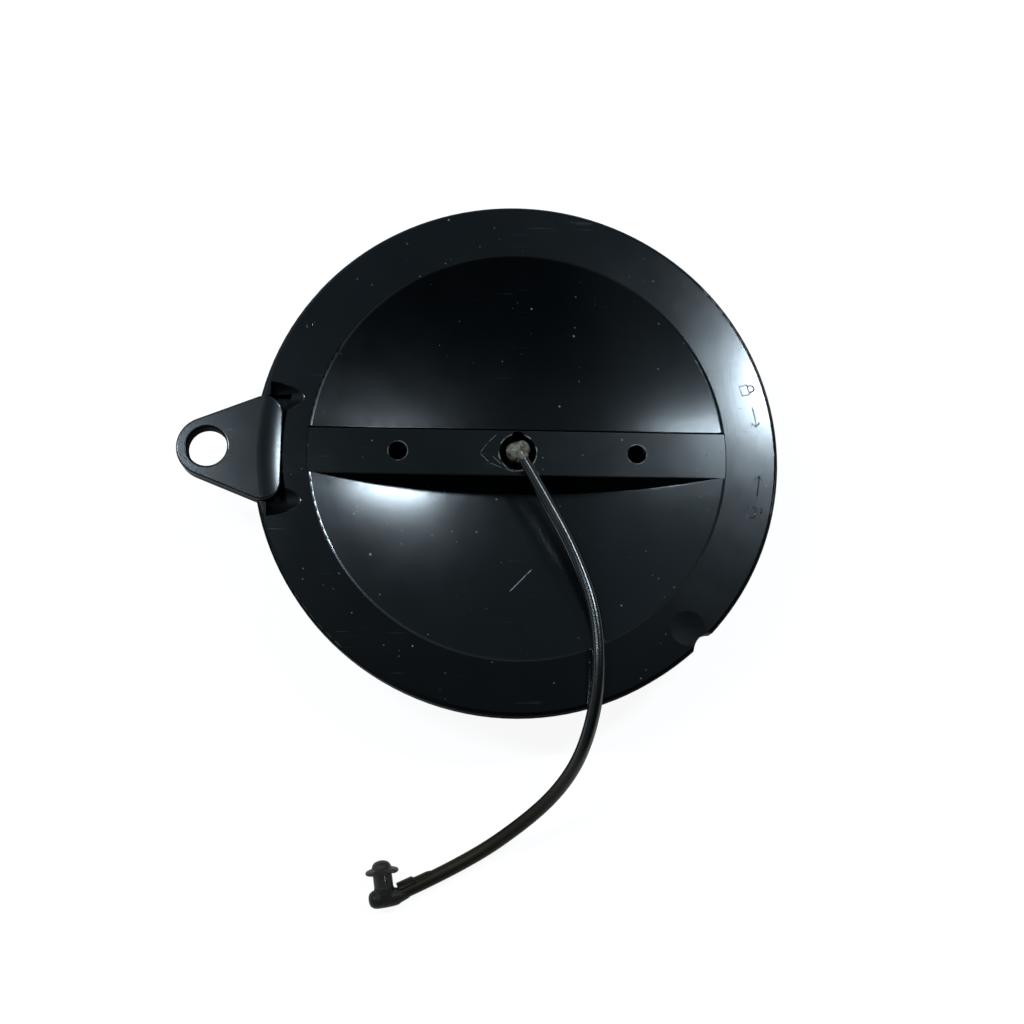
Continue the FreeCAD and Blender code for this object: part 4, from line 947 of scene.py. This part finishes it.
class HOSECAP_OT_cord(Operator):
    """Lays the tether's cord from the ball end over the rim to the far fitting"""
    bl_idname = "hosecap.cord"
    bl_label = "Tether Cord"

    def execute(self, context):
        tether = context.scene.hosecap_tether
        cord = route_curve("cord")
        cord.data.bevel_depth = tether.cord_diameter / 2
        cord.data.bevel_resolution = 9
        cord.data.use_fill_caps = True
        cord.data.materials.append(bpy.data.materials["cord_satin_rubber"])
        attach(cord, "tether")
        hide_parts("tether_cord")
        return {"FINISHED"}


class HOSECAP_OT_cord_finish(Operator):
    """Makes the satin rubber of the cord and its sleeve"""
    bl_idname = "hosecap.cord_finish"
    bl_label = "Cord Finish"

    def execute(self, context):
        tether = context.scene.hosecap_tether
        rubber = Finish("cord_satin_rubber", tuple(tether.cord_colour))
        rubber.grain(1500.0, 0.17, 0.23)
        far = spread(rubber.tree, rubber.along("Y"), *CORD_WORN_SPAN, 1.0, 0.0)
        rubber.dull(far, tuple(tether.cord_worn))
        rubber.dust(CORD_DUST_COLOUR, 0.8, scale=420.0, size=0.12, amount=0.10)
        rubber.done(0.00008, 0.3)
        return {"FINISHED"}


class HOSECAP_OT_stage(Operator):
    """Sets up the floor, the lamps, the world and the camera"""
    bl_idname = "hosecap.stage"
    bl_label = "Stage"

    def floor(self, stage):
        """A wide floor that looks white and keeps the object's shadow."""
        bm = bmesh.new()
        bmesh.ops.create_circle(bm, cap_ends=True, radius=FLOOR_RADIUS, segments=96)
        mesh = bpy.data.meshes.new("floor")
        bm.to_mesh(mesh)
        bm.free()
        floor = bpy.data.objects.new("floor", mesh)
        bpy.context.scene.collection.objects.link(floor)
        material = bpy.data.materials.new("floor_white")
        material.use_nodes = True
        tree = material.node_tree
        shader = tree.nodes["Principled BSDF"]
        shader.inputs["Base Color"].default_value = (*stage.floor_colour, 1)
        shader.inputs["Roughness"].default_value = 0.9
        shader.inputs["Specular IOR Level"].default_value = 0.1
        rays = put(tree, "ShaderNodeLightPath")
        mirrored = calculate(tree, "ADD", rays.outputs["Is Glossy Ray"], rays.outputs["Is Transmission Ray"])
        place = put(tree, "ShaderNodeTexCoord")
        reach = put(tree, "ShaderNodeVectorMath", operation="LENGTH")
        tree.links.new(place.outputs["Object"], reach.inputs[0])
        bare = spread(tree, reach.outputs["Value"], HIDDEN_FLOOR_RADIUS - 0.003, HIDDEN_FLOOR_RADIUS)
        clear = spread(tree, reach.outputs["Value"], SHADED_FLOOR_RADIUS - 0.004, SHADED_FLOOR_RADIUS)
        seen = calculate(tree, "MULTIPLY", rays.outputs["Is Camera Ray"], bare)
        seen = calculate(tree, "ADD", seen, calculate(tree, "MULTIPLY", mirrored, clear), clamp=True)
        glow = calculate(tree, "MULTIPLY", seen, stage.floor_glow)
        shader.inputs["Emission Color"].default_value = (1, 1, 1, 1)
        tree.links.new(glow, shader.inputs["Emission Strength"])
        mesh.materials.append(material)

    def lamp(self, name, place, size, power, colour):
        """A long soft lamp that faces the cap, its length along X."""
        data = bpy.data.lights.new(name, "AREA")
        data.color = colour
        data.shape = "RECTANGLE"
        data.size, data.size_y = size
        data.energy = power
        lamp = bpy.data.objects.new(name, data)
        bpy.context.scene.collection.objects.link(lamp)
        lamp.matrix_world = axes_at(place, place, Vector((1, 0, 0)))

    def world(self, stage):
        """A dim room, paler behind the object and at its left, with a white band at its foot."""
        world = bpy.data.worlds.new("studio")
        world.use_nodes = True
        tree = world.node_tree
        ground = tree.nodes["Background"]
        way = put(tree, "ShaderNodeTexCoord")
        parts = put(tree, "ShaderNodeSeparateXYZ")
        tree.links.new(way.outputs["Generated"], parts.inputs["Vector"])
        behind = spread(tree, parts.outputs["Y"], -0.20, 0.45, ROOM_FRONT, ROOM_BEHIND)
        beside = spread(tree, parts.outputs["X"], -0.50, 0.0, ROOM_LEFT, 0.0)
        foot = spread(tree, parts.outputs["Z"], 0.16, 0.34, ROOM_FOOT, 0.0)
        level = calculate(tree, "MAXIMUM", calculate(tree, "ADD", behind, beside), foot)
        colour = mix_colours(tree, foot, tuple(stage.room_colour), (1, 1, 1))
        tree.links.new(colour, ground.inputs["Color"])
        tree.links.new(level, ground.inputs["Strength"])
        bpy.context.scene.world = world

    def camera(self):
        """The camera at the photograph's angle."""
        azimuth, elevation, roll = CAMERA_AZIMUTH, CAMERA_ELEVATION, CAMERA_ROLL
        back = Vector((
            math.sin(azimuth) * math.cos(elevation),
            -math.cos(azimuth) * math.cos(elevation),
            math.sin(elevation),
        ))
        level = Vector((math.cos(azimuth), math.sin(azimuth), 0))
        rise = back.cross(level)
        right = level * math.cos(roll) + rise * math.sin(roll)
        top = rise * math.cos(roll) - level * math.sin(roll)
        aim = Vector((0, 0, FLANGE_TOP))
        place = aim + back * CAMERA_DISTANCE + right * CAMERA_SLIDE[0] + top * CAMERA_SLIDE[1]
        data = bpy.data.cameras.new("camera")
        data.sensor_width = SENSOR_WIDTH
        data.lens = CAMERA_FOCAL_PIXELS * SENSOR_WIDTH / PICTURE_PIXELS
        data.clip_start = 0.01
        camera = bpy.data.objects.new("camera", data)
        bpy.context.scene.collection.objects.link(camera)
        turn = Matrix((right, top, back)).transposed().to_4x4()
        camera.matrix_world = Matrix.Translation(place) @ turn
        bpy.context.scene.camera = camera

    def execute(self, context):
        stage = context.scene.hosecap_stage
        self.floor(stage)
        self.lamp("right_lamp", RIGHT_LAMP_PLACE, RIGHT_LAMP_SIZE, stage.right_power, stage.lamp_colour)
        self.lamp("left_lamp", LEFT_LAMP_PLACE, LEFT_LAMP_SIZE, stage.left_power, stage.lamp_colour)
        self.world(stage)
        self.camera()
        context.scene.view_settings.view_transform = "Standard"
        return {"FINISHED"}


OPERATORS = (
    HOSECAP_OT_stage,
    HOSECAP_OT_cap_finish,
    HOSECAP_OT_turn_marks,
    HOSECAP_OT_cord_finish,
    HOSECAP_OT_ball_end,
    HOSECAP_OT_far_fitting,
    HOSECAP_OT_cord,
)
SETTINGS = (
    ("hosecap_cap", CapSettings),
    ("hosecap_marks", MarkSettings),
    ("hosecap_tether", TetherSettings),
    ("hosecap_stage", StageSettings),
)


class HOSECAP_PT_panel(Panel):
    """Lists the end cap's operators and sizes"""
    bl_label = "Hose Carrier End Cap"
    bl_idname = "HOSECAP_PT_panel"
    bl_space_type = "VIEW_3D"
    bl_region_type = "UI"
    bl_category = "End Cap"

    def draw(self, context):
        for operator in OPERATORS:
            self.layout.operator(operator.bl_idname)
        for name, group in SETTINGS:
            for key in group.__annotations__:
                self.layout.prop(getattr(context.scene, name), key)


def register():
    """Registers the settings, the operators and the panel."""
    for name, group in SETTINGS:
        bpy.utils.register_class(group)
        setattr(bpy.types.Scene, name, PointerProperty(type=group))
    for made in (*OPERATORS, HOSECAP_PT_panel):
        bpy.utils.register_class(made)


def unregister():
    """Takes back what register added."""
    for made in reversed((*OPERATORS, HOSECAP_PT_panel)):
        bpy.utils.unregister_class(made)
    for name, group in reversed(SETTINGS):
        delattr(bpy.types.Scene, name)
        bpy.utils.unregister_class(group)


def main():
    """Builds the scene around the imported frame."""
    register()
    for operator in OPERATORS:
        group, name = operator.bl_idname.split(".")
        getattr(getattr(bpy.ops, group), name)()


if __name__ == "__main__":
    main()
